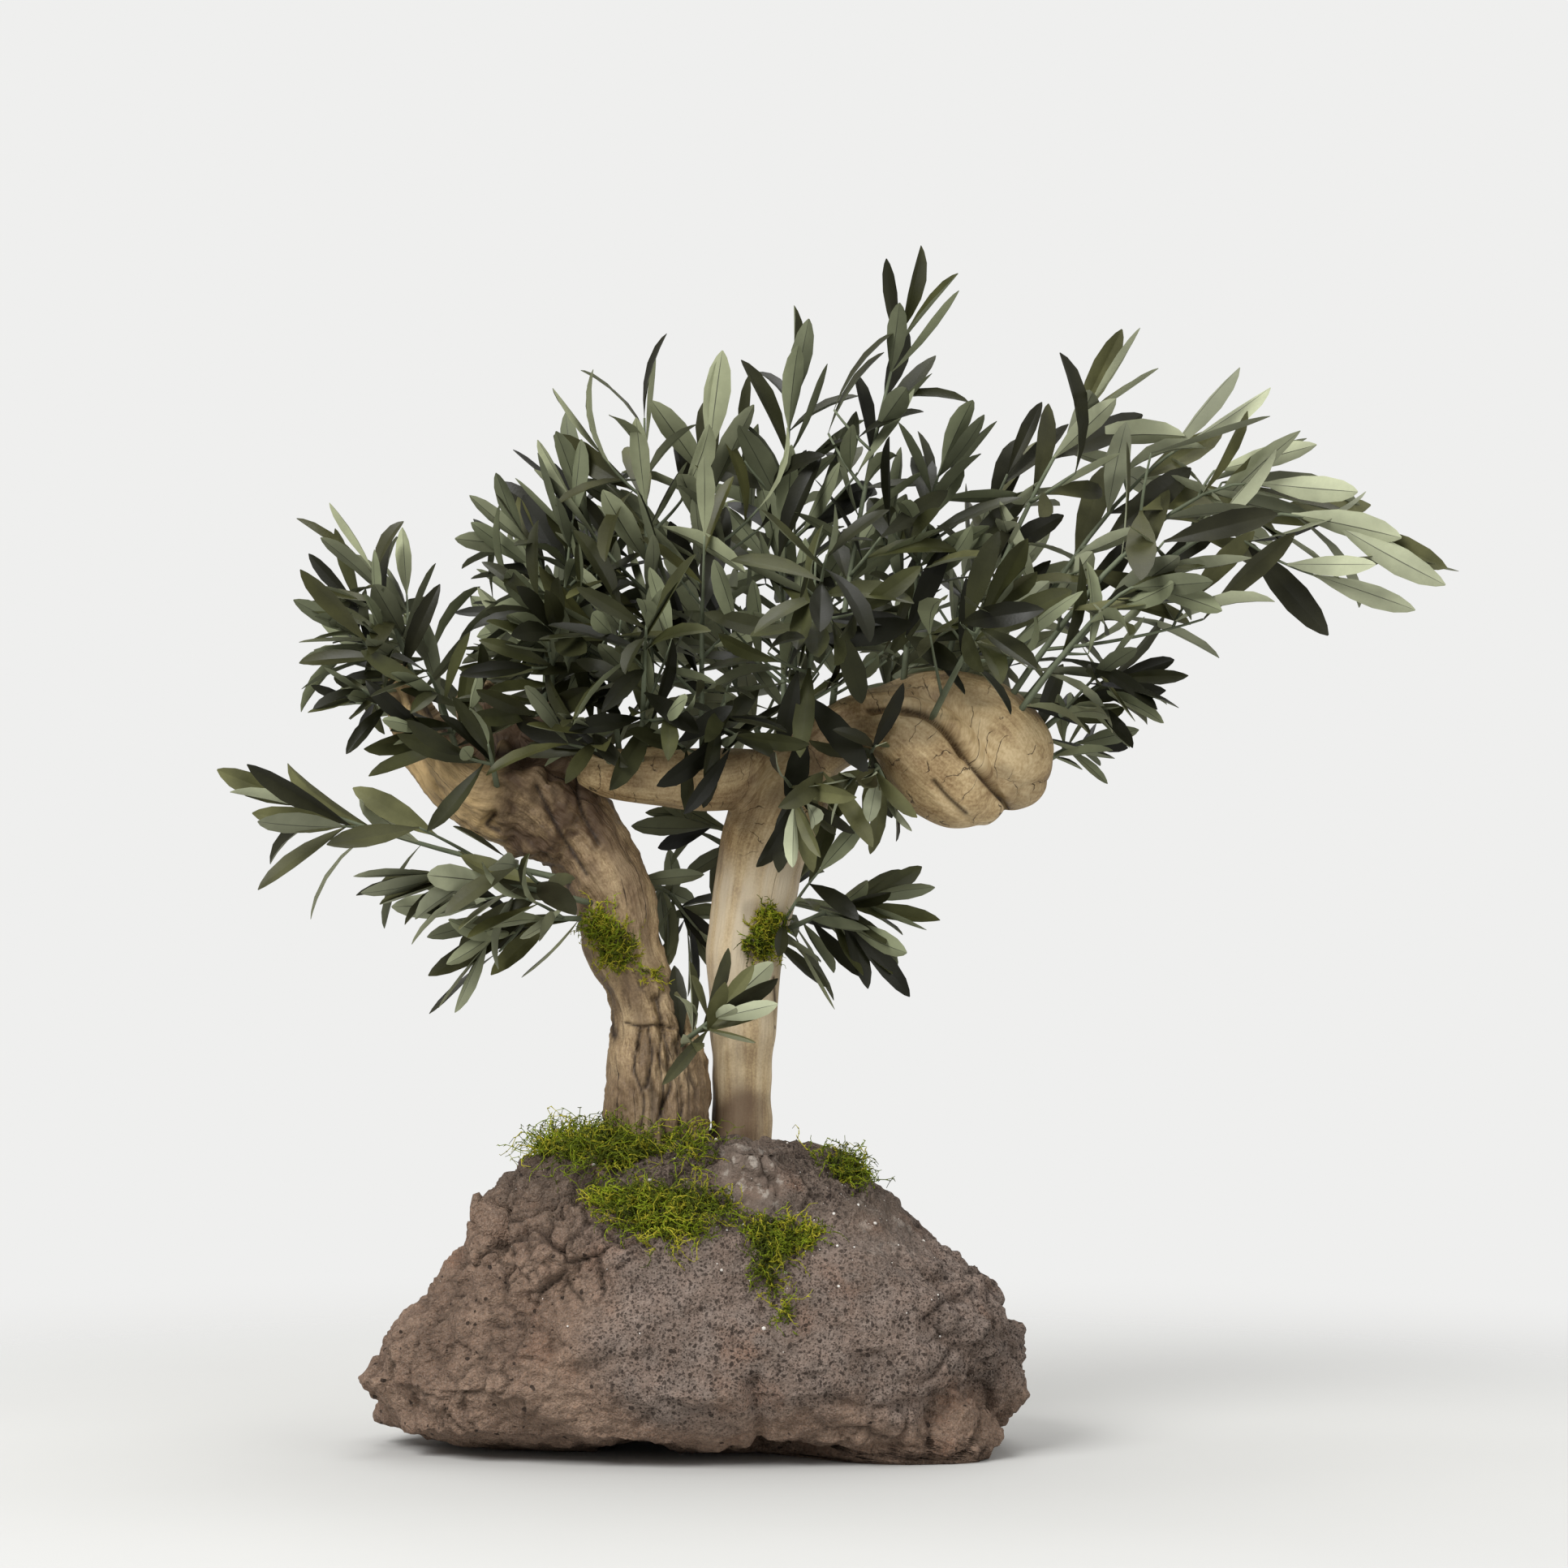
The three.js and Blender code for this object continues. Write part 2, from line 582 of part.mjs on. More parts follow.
// A leaf: a keeled lance of four faces, widest below its middle, its flat side towards the twig's tip.
function leafSolid({ root, along, out, length }, swell = 0) {
  const across = new THREE.Vector3().crossVectors(out, along).normalize();
  const face = new THREE.Vector3().crossVectors(across, out);
  const halfWidth = (length * LEAF_WIDTH_SHARE) / 2 + swell;
  const start = -LEAF_SUNK - swell;
  const whole = length + swell - start;
  return solidOf(
    warp(new THREE.TetrahedronGeometry(Math.sqrt(3)), ({ x, y, z }) => {
      // two corners lie at the leaf's ends and two at its edges
      const [lengthwise, crosswise] = [(x + y) / 2, (y - x) / 2];
      const share = 0.5 + 0.5 * lengthwise - 0.04 * (1 - lengthwise * lengthwise);
      return root
        .clone()
        .addScaledVector(out, start + whole * share)
        .addScaledVector(across, crosswise * halfWidth)
        .addScaledVector(face, ((1 - z) / 2) * LEAF_KEEL - z * swell);
    }),
  );
}

// A tapering three-sided twig along its curve.
function twigSolid({ curve, runs, radius }, swell = 0) {
  const drum = new THREE.CylinderGeometry(1, 1, 1, TWIG_SIDES, runs);
  // every section lies square to the chord, so that the sides of a run stay flat
  const along = curve.getPoint(1).sub(curve.getPoint(0)).normalize();
  const aside = branchOff(along, Math.PI / 2, 0);
  const behind = new THREE.Vector3().crossVectors(aside, along);
  return solidOf(
    warp(drum, ({ x, y, z }) => {
      const t = y + 0.5;
      const size = radius + (TWIG_RADIUS - radius) * t + swell;
      return curve
        .getPoint(t)
        .addScaledVector(aside, x * size)
        .addScaledVector(behind, z * size);
    }),
  );
}

// Everything that a new twig or leaf has to keep clear of, with the piece that owns it.
const placed = [];

function place(owner, solid) {
  const { min, max } = solid.boundingBox();
  placed.push({ owner, solid, min, max });
}

// The first of the placed things chosen by `counts` that a solid runs into.
function metBy(solid, counts) {
  const { min, max } = solid.boundingBox();
  return placed.find((other) => {
    if (!counts(other)) return false;
    if ([0, 1, 2].some((i) => other.max[i] < min[i] || other.min[i] > max[i])) return false;
    return solid.intersect(other.solid).volume() > 1e-3;
  });
}

// Whether a solid is clear of every limb and of every other spray.
function isClear(owner, solid) {
  return !metBy(solid, (other) => other.owner !== owner);
}

// Whether a leaf's blade, from a little way out of its twig, is clear of the rest of its spray.
function bladeIsClear(owner, { root, along, out, length }) {
  const blade = {
    root: root.clone().addScaledVector(out, BLADE_FROM * length),
    along,
    out,
    length: (1 - BLADE_FROM) * length,
  };
  return !metBy(leafSolid(blade), (other) => other.owner === owner);
}

// Limbs, each cut clear of the limb that carries it
const swollenLeft = limb(STEM_LEFT, CLEARANCE);
const swollenRight = limb(STEM_RIGHT, CLEARANCE);

function cutClear(solid, ...carriers) {
  return largestBody(carriers.reduce((kept, each) => kept.subtract(each), solid));
}

// Several limbs grown together, with their surface moved out by swell.
const grownTogether = (shapes, swell) => fused(shapes.map((shape) => limb(shape, swell)));
const KNOB = [BOUGH_RIGHT_ARM, BOUGH_RIGHT_LOWER, BOUGH_RIGHT_UPPER, BOUGH_RIGHT_CORE];
const SCOOP = [BOUGH_LEFT, BOUGH_LEFT_WEB, BOUGH_LEFT_WALL];
const limbs = {
  stem_left: { solid: limb(STEM_LEFT), swollen: swollenLeft, look: "barkwood" },
  stem_right: { solid: limb(STEM_RIGHT), swollen: swollenRight, look: "barewood" },
  bough_left: {
    solid: cutClear(grownTogether(SCOOP, 0), swollenLeft),
    swollen: grownTogether(SCOOP, CLEARANCE),
    look: "barkwood",
  },
  stub_left: {
    solid: cutClear(limb(STUB_LEFT), swollenRight),
    swollen: limb(STUB_LEFT, CLEARANCE),
    look: "barewood",
  },
  bough_right: {
    solid: cutClear(grownTogether(KNOB, 0), swollenRight),
    swollen: grownTogether(KNOB, CLEARANCE),
    look: "barewood",
  },
};
// The right bough and the stub both spring from the right stem's fork
limbs.bough_right.solid = cutClear(limbs.bough_right.solid, limbs.stub_left.swollen);

// The stone, with a socket for each stem
const stoneSolid = cutClear(stone(), swollenLeft, swollenRight);
const swollenStone = stone(CLEARANCE);

const tree = new THREE.Group();
tree.add(meshOf("stone", stoneSolid, materials.stone));
for (const [name, { solid, swollen, look }] of Object.entries(limbs)) {
  tree.add(meshOf(name, solid, materials[look]));
  place(name, swollen);
}
place("stone", swollenStone);

// Sprays: all stems with their last leaves first, so that each has its own way out, then the side twigs and
// leaves that stay clear
const sprays = Object.entries(SPRAYS).map(([name, size], index) => {
  const [carrier] = size;
  const leafLength = size.at(-1);
  const seed = index + 1;
  const [stem, ...sideTwigs] = sprayTwigs(size, seed);
  const [tipLeaf] = twigLeaves(stem, leafLength, seed);
  const owner = `spray_${name}`;
  const pieces = [cutClear(twigSolid(stem), limbs[carrier].swollen), leafSolid(tipLeaf)];
  for (const piece of pieces) {
    const met = metBy(piece, (other) => other.owner !== owner);
    if (met) throw new Error(`${owner} meets ${met.owner}`);
    place(owner, piece);
  }
  return { owner, stem, sideTwigs, pieces, leafLength, seed };
});

for (const { owner, stem, sideTwigs, pieces, leafLength, seed } of sprays) {
  const add = (solid) => {
    pieces.push(solid);
    place(owner, solid);
  };
  const twigs = sideTwigs.filter((twig) => isClear(owner, twigSolid(twig, LEAF_CLEARANCE)));
  twigs.forEach((twig) => add(twigSolid(twig)));
  [stem, ...twigs].forEach((twig, k) => {
    const leaves = twigLeaves(twig, leafLength, seed + 50 * k);
    const further = twig === stem ? leaves.slice(1) : leaves;
    for (const leaf of further) {
      if (!keepsToSpace(twig.space, leaf)) continue;
      if (!isClear(owner, leafSolid(leaf, LEAF_CLEARANCE))) continue;
      if (bladeIsClear(owner, leaf)) add(leafSolid(leaf));
    }
  });
  tree.add(meshOf(owner, largestBody(fused(pieces)), materials.leaf));
}

// A tuft of moss: a ragged cushion that lies on its carrier.
function mossTuft([carrier, at, [halfLong, halfShort], height], seed) {
  const ball = new THREE.SphereGeometry(1, MOSS_SIDES, MOSS_BANDS);
  const point = new THREE.Vector3(...at);
  const outward = point
    .clone()
    .sub(carrier === "stone" ? new THREE.Vector3(0, 0, 40) : limbMiddle(carrier, at[2]))
    .normalize();
  const turn = new THREE.Quaternion().setFromUnitVectors(
    new THREE.Vector3(0, 0, 1),
    outward,
  );
  const solid = solidOf(
    warp(ball, (vertex) => {
      const corner = Math.round(100 * (vertex.x + 3 * vertex.y + 7 * vertex.z));
      const ragged = 1 + MOSS_RAGGED * (2 * chance(seed, corner) - 1);
      return vertex
        .multiply(new THREE.Vector3(halfLong, halfShort, height))
        .multiplyScalar(ragged)
        .applyQuaternion(turn)
        .add(point);
    }),
  );
  return cutClear(solid, swollenStone, swollenLeft, swollenRight);
}

// The middle of a stem at a height.
function limbMiddle(name, height) {
  const { curve } = limbAxis(name === "stem_left" ? STEM_LEFT : STEM_RIGHT);
  return curve
    .getPoints(60)
    .reduce((best, p) => (Math.abs(p.z - height) < Math.abs(best.z - height) ? p : best));
}

Object.entries(MOSS_TUFTS).forEach(([name, size], index) => {
  tree.add(meshOf(name, mossTuft(size, index + 1), materials.moss));
});

export default tree;
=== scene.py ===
"""Olive bonsai on a lava stone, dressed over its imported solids.

The driving sizes are the solids' own, in millimetres: the stone's levels, the axes of the limbs, and the
sprays with the rule that grows their twigs and leaves. Every surface is worked out as arrays and put into a
mesh in metres.
"""

import bpy
import numpy as np
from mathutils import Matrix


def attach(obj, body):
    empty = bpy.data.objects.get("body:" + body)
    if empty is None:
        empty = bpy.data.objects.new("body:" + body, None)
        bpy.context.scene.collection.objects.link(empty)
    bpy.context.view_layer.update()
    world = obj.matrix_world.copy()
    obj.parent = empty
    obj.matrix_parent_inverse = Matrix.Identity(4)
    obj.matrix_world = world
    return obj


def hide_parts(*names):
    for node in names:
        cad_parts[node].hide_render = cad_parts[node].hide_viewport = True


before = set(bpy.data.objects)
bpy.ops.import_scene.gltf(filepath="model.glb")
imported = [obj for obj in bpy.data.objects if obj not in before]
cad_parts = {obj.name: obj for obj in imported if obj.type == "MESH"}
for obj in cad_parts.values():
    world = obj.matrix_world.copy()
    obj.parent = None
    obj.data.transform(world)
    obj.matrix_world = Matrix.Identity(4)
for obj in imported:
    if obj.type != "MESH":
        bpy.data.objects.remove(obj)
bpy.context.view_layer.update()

MM = 0.001
UP = np.array([0.0, 0.0, 1.0])
BACK = np.array([0.0, 1.0, 0.0])
GOLDEN_ANGLE = np.pi * (3 - np.sqrt(5))
# Sines whose fractions are the random numbers: their height, and how fast they run by seed, by index, and
# along X, Y and Z
SINE_HEIGHT = 43758.5453
SEED_PACE = 12.9898
INDEX_PACE = 78.233
LATTICE_PACES = np.array([127.1, 311.7, 74.7])
LATTICE_SEED_PACE = 53.9
NOISE_SHIFT = 0.37  # of the noise from one seed to the next, counted in cells
FAR_CELLS = 9.0  # further off than any random spot is, counted in cells
PIT_WIDTH = 0.42
BLOCK_SHOULDER = 0.12  # width of a block's rounded edge, counted in cells
BLOCK_CRACK = 0.06  # and of the crack beside it

# Stone: the reach of its outline from the Z axis at each height
STONE_HEIGHTS = (0, 6, 14, 39, 62, 76, 90, 112, 131, 150, 160)
STONE_REACH = {
    "left": (122, 150, 174, 184, 168, 152, 139, 128, 117, 100, 66),
    "right": (128, 144, 152, 156, 157, 151, 133, 111, 94, 72, 44),
    "front": (26, 58, 86, 103, 102, 99, 95, 84, 68, 48, 31),
    "back": (62, 76, 86, 97, 96, 93, 88, 77, 62, 45, 31),
}
STONE_TOP = 165
STONE_SQUARENESS = 0.86
STONE_RUGGED = 0.018
STONE_SWELL = 6  # height of the broad swells on the stone's side
STONE_SWELL_SIZE = 50  # from one swell to the next
STONE_SIDES = 512
STONE_UNDER_RINGS = 16
STONE_SIDE_RINGS = 158
STONE_TOP_RINGS = 18
STONE_RISE_POWER = 1.12  # brings the rings closer together at the stone's foot
STONE_FOOT_RELIEF = 0.25  # share of the relief where the stone stands
# Lumps that stand out of the stone: centre and half sizes
STONE_TOE = ((101, -46, 12), (46, 27, 27))
STONE_MORTAR = ((20, -38, 146), (20, 19, 22))
STONE_CHIP = ((-22, -40, 146), (14, 11, 12))
LUMP_BLEND = 7  # width of the fillet where a lump leaves the stone
# Hollows under the stone: middle, half width and height of the arch, and how far it runs along Y
STONE_ARCHES = ((-38, 22, 10, -120, 120), (38, 24, 16, -120, -40))

# Limbs: points on the axis (x, y, z, radius), and size towards the viewer over width
STEM_LEFT = {
    "depth": 0.95,
    "axis": (
        (-30, -4, 150, 30), (-30, -4, 172, 28), (-31, -4, 200, 26), (-35, -3, 228, 21),
        (-41, -3, 246, 18.5), (-48, -2, 264, 20), (-52, 0, 288, 21), (-67, 2, 316, 22),
        (-83, 5, 342, 20), (-88, 8, 366, 15), (-85, 10, 386, 8),
    ),
}
STEM_RIGHT = {
    "depth": 1.0,
    "axis": (
        (14, 8, 150, 16), (14.5, 8, 190, 15.5), (15, 7, 225, 17.5), (15.5, 6, 252, 19.5),
        (20, 5, 285, 21), (26, 4, 315, 23), (37, 2, 341, 25), (46, 0, 358, 20), (50, 0, 370, 10),
    ),
}
BOUGH_LEFT = {
    "depth": 1.05,
    # a scooped hollow along the bough's upper front: depth, angle, width in radians, and stretch
    "groove": (0.5, 0.95, 0.55, 0.3, 1.0),
    "axis": (
        (-78, 0, 318, 15), (-105, -3, 333, 20), (-131, -6, 349, 21.5), (-151, -6, 371, 17),
        (-161, -4, 393, 12), (-164, -3, 408, 5),
    ),
}
STUB_LEFT = {
    "depth": 0.95,
    "axis": (
        (36, 2, 352, 12), (6, -8, 349, 16), (-26, -16, 350, 15.5), (-52, -22, 352, 13.5),
        (-66, -25, 354, 9),
    ),
}
BOUGH_RIGHT_ARM = {
    "depth": 0.95,
    "axis": ((42, 0, 352, 15), (64, 0, 371, 16.5), (86, 1, 382, 17), (104, 2, 384, 14)),
}
BOUGH_RIGHT_LOWER = {
    "depth": 1.0,
    "axis": (
        (76, -5, 376, 11), (96, -9, 374, 18), (114, -10, 360, 23), (130, -9, 346, 20),
        (143, -8, 338, 10),
    ),
}
BOUGH_RIGHT_UPPER = {
    "depth": 0.95,
    "axis": (
        (80, 7, 386, 11), (108, 9, 386, 19), (135, 6, 376, 25), (150, 4, 361, 26),
        (157, 3, 351, 20), (160, 2, 345, 12),
    ),
}
BOUGH_RIGHT_CORE = {
    "depth": 1.0,
    "axis": ((88, 1, 382, 14), (116, 0, 371, 20), (137, -1, 357, 20), (150, -2, 346, 14)),
}
BOUGH_LEFT_WEB = {
    # wood between the bough and the stem, below the scoop
    "depth": 0.8,
    "axis": ((-72, -2, 316, 13), (-86, -4, 328, 23), (-104, -4, 347, 23), (-116, -2, 360, 15)),
}
BOUGH_LEFT_WALL = {
    # back wall of the scoop, between the bough's lip and the stem's top
    "depth": 0.5,
    "axis": ((-76, 4, 320, 17), (-97, 9, 345, 20), (-115, 13, 370, 20), (-126, 15, 394, 12)),
}
BARE_LIMBS = (
    STEM_RIGHT, STUB_LEFT, BOUGH_RIGHT_ARM, BOUGH_RIGHT_LOWER, BOUGH_RIGHT_UPPER, BOUGH_RIGHT_CORE,
)
BARK_LIMBS = (STEM_LEFT, BOUGH_LEFT, BOUGH_LEFT_WEB, BOUGH_LEFT_WALL)

# Sprays of leaves: a point inside the limb that carries it, the point its stem bends towards, the tip of its
# last leaf, the number of side twigs, and the length of its leaves
SPRAYS = {
    "left_high": ((-150, -3, 381), (-170, -4, 440), (-196, -8, 497), 2, 48),
    "left_mid": ((-158, -2, 390), (-180, 6, 432), (-214, 12, 468), 1, 46),
    "left_outer": ((-160, -5, 394), (-184, -10, 424), (-219, -14, 443), 1, 44),
    "left_droop": ((-164, -8, 386), (-184, -24, 396), (-206, -40, 394), 1, 34),
    "left_front": ((-132, -10, 356), (-142, -40, 400), (-160, -86, 416), 2, 46),
    "left_back": ((-140, 0, 366), (-150, 40, 420), (-172, 92, 446), 3, 50),
    "left_inner": ((-112, -18, 342), (-114, -44, 360), (-118, -86, 388), 2, 44),
    "shoulder_low": ((-90, 6, 368), (-84, 4, 470), (-137, -12, 475), 2, 50),
    "shoulder_mid": ((-86, 13, 377), (-74, 24, 480), (-117, 24, 507), 2, 50),
    "shoulder_high": ((-84, 9, 381), (-78, -12, 450), (-68, -22, 526), 3, 50),
    "shoulder_back": ((-86, 12, 368), (-90, 60, 440), (-104, 122, 462), 3, 52),
    "shoulder_front": ((-86, 4, 362), (-82, -50, 420), (-76, -106, 436), 2, 48),
    "stub_left": ((-48, -20, 355), (-60, -2, 450), (-81, 12, 543), 4, 52),
    "stub_high": ((-30, -16, 355), (-36, -20, 470), (-36, -22, 583), 4, 54),
    "stub_front": ((-38, -22, 350), (-34, -80, 420), (-30, -132, 446), 2, 50),
    "stub_low": ((-50, -22, 352), (-62, -60, 374), (-76, -98, 390), 1, 44),
    "stub_right": ((-6, -10, 353), (-8, -2, 460), (2, 4, 574), 3, 54),
    "fork_front": ((-8, -12, 352), (4, -56, 384), (14, -102, 402), 1, 46),
    "crown_left": ((37, 2, 360), (34, 6, 480), (45, 10, 599), 4, 54),
    "crown_top": ((60, 0, 372), (74, -2, 500), (111, -8, 628), 3, 54),
    "crown_front": ((44, -6, 358), (54, -80, 450), (66, -136, 486), 3, 52),
    "crown_back": ((43, 8, 358), (42, 70, 470), (34, 132, 520), 3, 54),
    "crown_rear": ((34, 12, 348), (4, 70, 420), (-34, 122, 462), 3, 52),
    "fork_hang": ((40, -20, 348), (42, -50, 344), (40, -68, 304), 1, 42),
    "knob_rise": ((98, 6, 388), (106, -6, 480), (134, -22, 552), 3, 52),
    "knob_mid": ((116, 12, 388), (140, 30, 480), (174, 34, 551), 3, 52),
    "knob_high": ((124, 6, 388), (160, 2, 500), (227, -4, 583), 3, 58),
    "knob_far": ((138, 10, 380), (200, 14, 500), (295, 18, 552), 3, 60),
    "knob_reach": ((144, -2, 376), (230, -8, 510), (337, -12, 498), 2, 62),
    "knob_long": ((148, 4, 372), (262, -2, 524), (383, -14, 447), 2, 66),
    "knob_outer": ((146, -6, 366), (206, -30, 452), (265, -48, 440), 1, 56),
    "knob_low": ((158, 4, 364), (204, 4, 402), (249, 2, 406), 1, 46),
    "knob_droop": ((172, 12, 358), (194, 28, 370), (220, 42, 366), 1, 34),
    "knob_front": ((110, -12, 374), (136, -80, 430), (164, -128, 456), 3, 54),
    "knob_back": ((122, 14, 380), (146, 76, 440), (176, 128, 482), 3, 54),
    "knob_rear": ((90, 8, 384), (96, 80, 430), (104, 134, 452), 2, 52),
    "under_hang": ((78, -8, 368), (86, -34, 354), (104, -44, 320), 2, 40),
    "low_left": ((-62, -8, 294), (-150, -20, 312), (-258, -26, 354), 1, 60),
    "low_left_mid": ((-60, -12, 284), (-120, -40, 300), (-184, -60, 302), 2, 50),
    "low_left_droop": ((-56, -6, 276), (-112, -20, 280), (-133, -30, 228), 2, 50),
    "crotch": ((-24, -10, 206), (0, -38, 226), (34, -52, 234), 2, 44),
    "low_right": ((20, 2, 262), (60, -6, 282), (114, -16, 297), 3, 46),
    "between": ((-52, 8, 296), (-18, 44, 296), (-11, 46, 234), 2, 44),
    "between_high": ((20, 10, 312), (-4, 44, 330), (-30, 70, 322), 1, 44),
    "low_back": ((18, 12, 258), (34, 54, 286), (52, 92, 292), 2, 48),
}
STEM_RADIUS = 1.9  # spray's stem where it leaves the limb
TWIG_RADIUS = 1.1  # side twig where it leaves its stem
TIP_RADIUS = 0.6
NODE_PITCH_SHARE = 0.37  # from one pair of leaves to the next, over the leaf's length
OPEN_LEAF_LENGTH = 55  # longer leaves than this stand further apart
OPEN_PITCH_SHARE = 0.58
BARE_SHARE = 0.07  # of a stem, from the limb to its first leaves
LONG_BARE_SHARES = {"low_left": 0.5, "knob_front": 0.35}
# Side twigs more or fewer than the solid sprays have
SIDE_TWIG_CHANGES = {
    "under_hang": 6, "fork_hang": 3, "fork_front": 2, "crown_front": 2,
    "crown_left": 2, "crown_back": 2, "crown_rear": 2, "stub_right": 2, "knob_rise": 2, "shoulder_high": 1,
    "left_high": -1, "left_mid": -1, "left_back": -2, "left_front": -1,
    "knob_far": -1, "knob_mid": -1, "low_left_mid": -1,
}
# Droop of the leaves that hang over the fork and its arms, or turn up if it is below zero
HANGING = {"under_hang": 0.25, "fork_hang": 0.8, "fork_front": 0.6, "crown_front": 0.6, "crotch": -0.4}
SIDE_TWIG_SHARE = 0.5  # reach of a side twig over what is left of its stem
SIDE_TWIG_OPEN = 0.8  # angle between a side twig and its stem
FINE_TWIG_PITCH = 95  # length of twig for each finer twig on it
FINE_TWIG_OPEN = 0.9
FINE_TWIG_LONGEST = 75
FINE_TWIG_RADIUS = 0.88
FINE_TWIG_SHARES = (0.35, 0.2)  # of what is left of the twig that carries it: the least, and the range
FIRST_TWIG_AT = 0.15  # share of a stem where its first side twig leaves it
TWIG_STRETCH = 0.55  # share of the stem along which its side twigs leave it
FIRST_FINE_TWIG_AT = 0.08
FINE_TWIG_STRETCH = 0.7
TWIG_BEND_AT = 0.55  # share of a side twig's reach where it bends
TWIG_BOW = 0.18  # how far it bows towards its parent's tip
LENGTH_POINTS = 60  # along a stem, where its length is measured
TWIG_POINTS = 9  # along each twig
TWIG_SIDES = 6
LEAF_OPEN = 1.2  # opening of a leaf at the foot of its twig
TIP_LEAF_OPEN = 0.5  # and at the twig's tip
LEAF_DROOP = 0.6
LEAF_MIDDLE = 0.55  # share of a leaf's length where it is kept clear of the limbs
LEAF_STRAY = 0.9  # how far leaves turn at random
LEAF_OUTWARD = 0.42  # how far leaves turn away from the crown's heart
OUTWARD_RISE = 0.35  # share of its upward part that this turn keeps
CROWN_HEART = (35, 10, 372)
LEAF_WIDTH_SHARE = 0.25
LEAF_THICKNESS = 0.7
LEAF_STATIONS = (0.0, 0.07, 0.2, 0.4, 0.62, 0.82, 0.94, 1.0)
LEAF_RIB = 0.04  # half width of the midrib over the leaf's
# Outline of a leaf: powers of the shares from its foot and from its tip, the largest product of these, and
# the least half width towards the foot and the tip
LEAF_POWERS = (1.1, 0.75)
LEAF_FULLEST = 0.2868
LEAF_LEAST = (0.09, 0.06)
LEAF_END_THICKNESS = 0.35  # at a leaf's foot and tip, over its own
# Turns of a leaf in radians: the range of its roll and of its twist, and the least and the range of its arc
# and of its fold
LEAF_ROLL = 1.1
LEAF_TWIST = 0.9
LEAF_ARC = (-0.45, 1.3)
LEAF_FOLD = (0.12, 0.45)
STRAIGHTEST_ARC = 0.05
LEAF_LENGTHS = (0.78, 0.36)  # over the spray's own: the least, and the range
FIRST_PAIR_AT = 0.35  # of the pitch between pairs, from the end of the bare stretch
TIP_LEAF_SLANT = 0.6  # of the last leaf's face from its twig
TIP_LEAF_SHARE = 0.85  # of a leaf's length, from the stem's end to the spray's tip
# Space of a spray: its half width, at most a share of the stem's length, the steps along the stem, and how
# steeply it closes at the tip
SPACE_HALF_WIDTH = 62
SPACE_SHARE = 0.75
SPACE_STEPS = 10
SPACE_TAPER = 5
LIMB_CLEARANCE = 1.5  # from a leaf's middle and tip to the bark
# Wood that the leaves leave free, as seen from the front: (x, z) middle and half sizes
BARE_FACES = (((137, 356), (46, 34)), ((-98, 338), (30, 18)), ((-140, 350), (22, 13)), ((20, 336), (20, 22)))

# Moss: what carries each tuft, its middle line on that surface as stations of x, y, z and half width, how far
# its strands stand up, and their number to the square centimetre
MOSS_TUFTS = {
    "moss_foot": (
        "stone",
        ((-86, -8, 155, 8), (-68, -24, 159, 12), (-46, -33, 158, 12), (-14, -37, 157, 8)),
        15, 46,
    ),
    "moss_front": (
        "stone",
        ((-58, -58, 132, 8), (-36, -66, 129, 12), (-14, -70, 127, 14), (3, -66, 128, 10)),
        11, 42,
    ),
    "moss_trail": (
        "stone",
        ((22, -72, 120, 6), (34, -74, 118, 9), (50, -70, 116, 6), (28, -78, 106, 7), (33, -84, 92, 3),
         (37, -88, 80, 3), (37, -92, 70, 1.5)),
        8, 36,
    ),
    "moss_right": ("stone", ((56, -26, 150, 5), (66, -24, 148, 8), (76, -22, 142, 6)), 10, 50),
    "moss_stem_left": (
        "bark",
        ((-76, -14, 284, 3), (-62, -20, 273, 6), (-48, -23, 261, 7), (-34, -24, 251, 5), (-27, -27, 234, 3),
         (-20, -28, 214, 2)),
        7, 34,
    ),
    "moss_stem_right": (
        "bare",
        ((27, -13, 277, 5), (26, -13, 268, 6), (25, -14, 258, 4), (24, -14, 250, 2)),
        6, 120,
    ),
}


def unit(vectors):
    """Vectors over their own lengths."""
    return vectors / np.maximum(np.linalg.norm(vectors, axis=-1, keepdims=True), 1e-9)


def chance(seed, index):
    """Repeatable numbers from 0 to 1 for pairs of whole numbers: the fraction of a large sine."""
    wave = np.sin(np.multiply(seed, SEED_PACE) + np.multiply(index, INDEX_PACE)) * SINE_HEIGHT
    return wave - np.floor(wave)


def varied(spread, seed, index):
    """Repeatable factors about one, from half the spread below it to half the spread above it."""
    return 1 - spread / 2 + spread * chance(seed, index)


def drawn(least, span, seed, index, power=1):
    """Repeatable numbers from a least value up over a span. A higher power leaves more of them small."""
    return least + span * chance(seed, index) ** power


def lattice(corners, seed):
    """Repeatable numbers from 0 to 1 at the whole-number points of space."""
    wave = np.sin(corners @ LATTICE_PACES + seed * LATTICE_SEED_PACE) * SINE_HEIGHT
    return wave - np.floor(wave)


def noise(points, size, seed=0):
    """Smooth noise from -1 to 1: numbers at the corners of cells of that size, blended by a smooth step."""
    scaled = points / np.asarray(size, float) + NOISE_SHIFT * seed
    cell = np.floor(scaled)
    share = scaled - cell
    share = share * share * (3 - 2 * share)
    total = np.zeros(len(points))
    for corner in np.ndindex(2, 2, 2):
        weight = np.prod(np.where(corner, share, 1 - share), axis=1)
        total += weight * lattice(cell + corner, seed)
    return 2 * total - 1


def rough(points, size, octaves, seed=0):
    """Broken noise: octaves of smooth noise, each half the size and half the height of the one before."""
    size = np.asarray(size, float)
    return sum(noise(points, size / 2**k, seed + k) / 2**k for k in range(octaves))


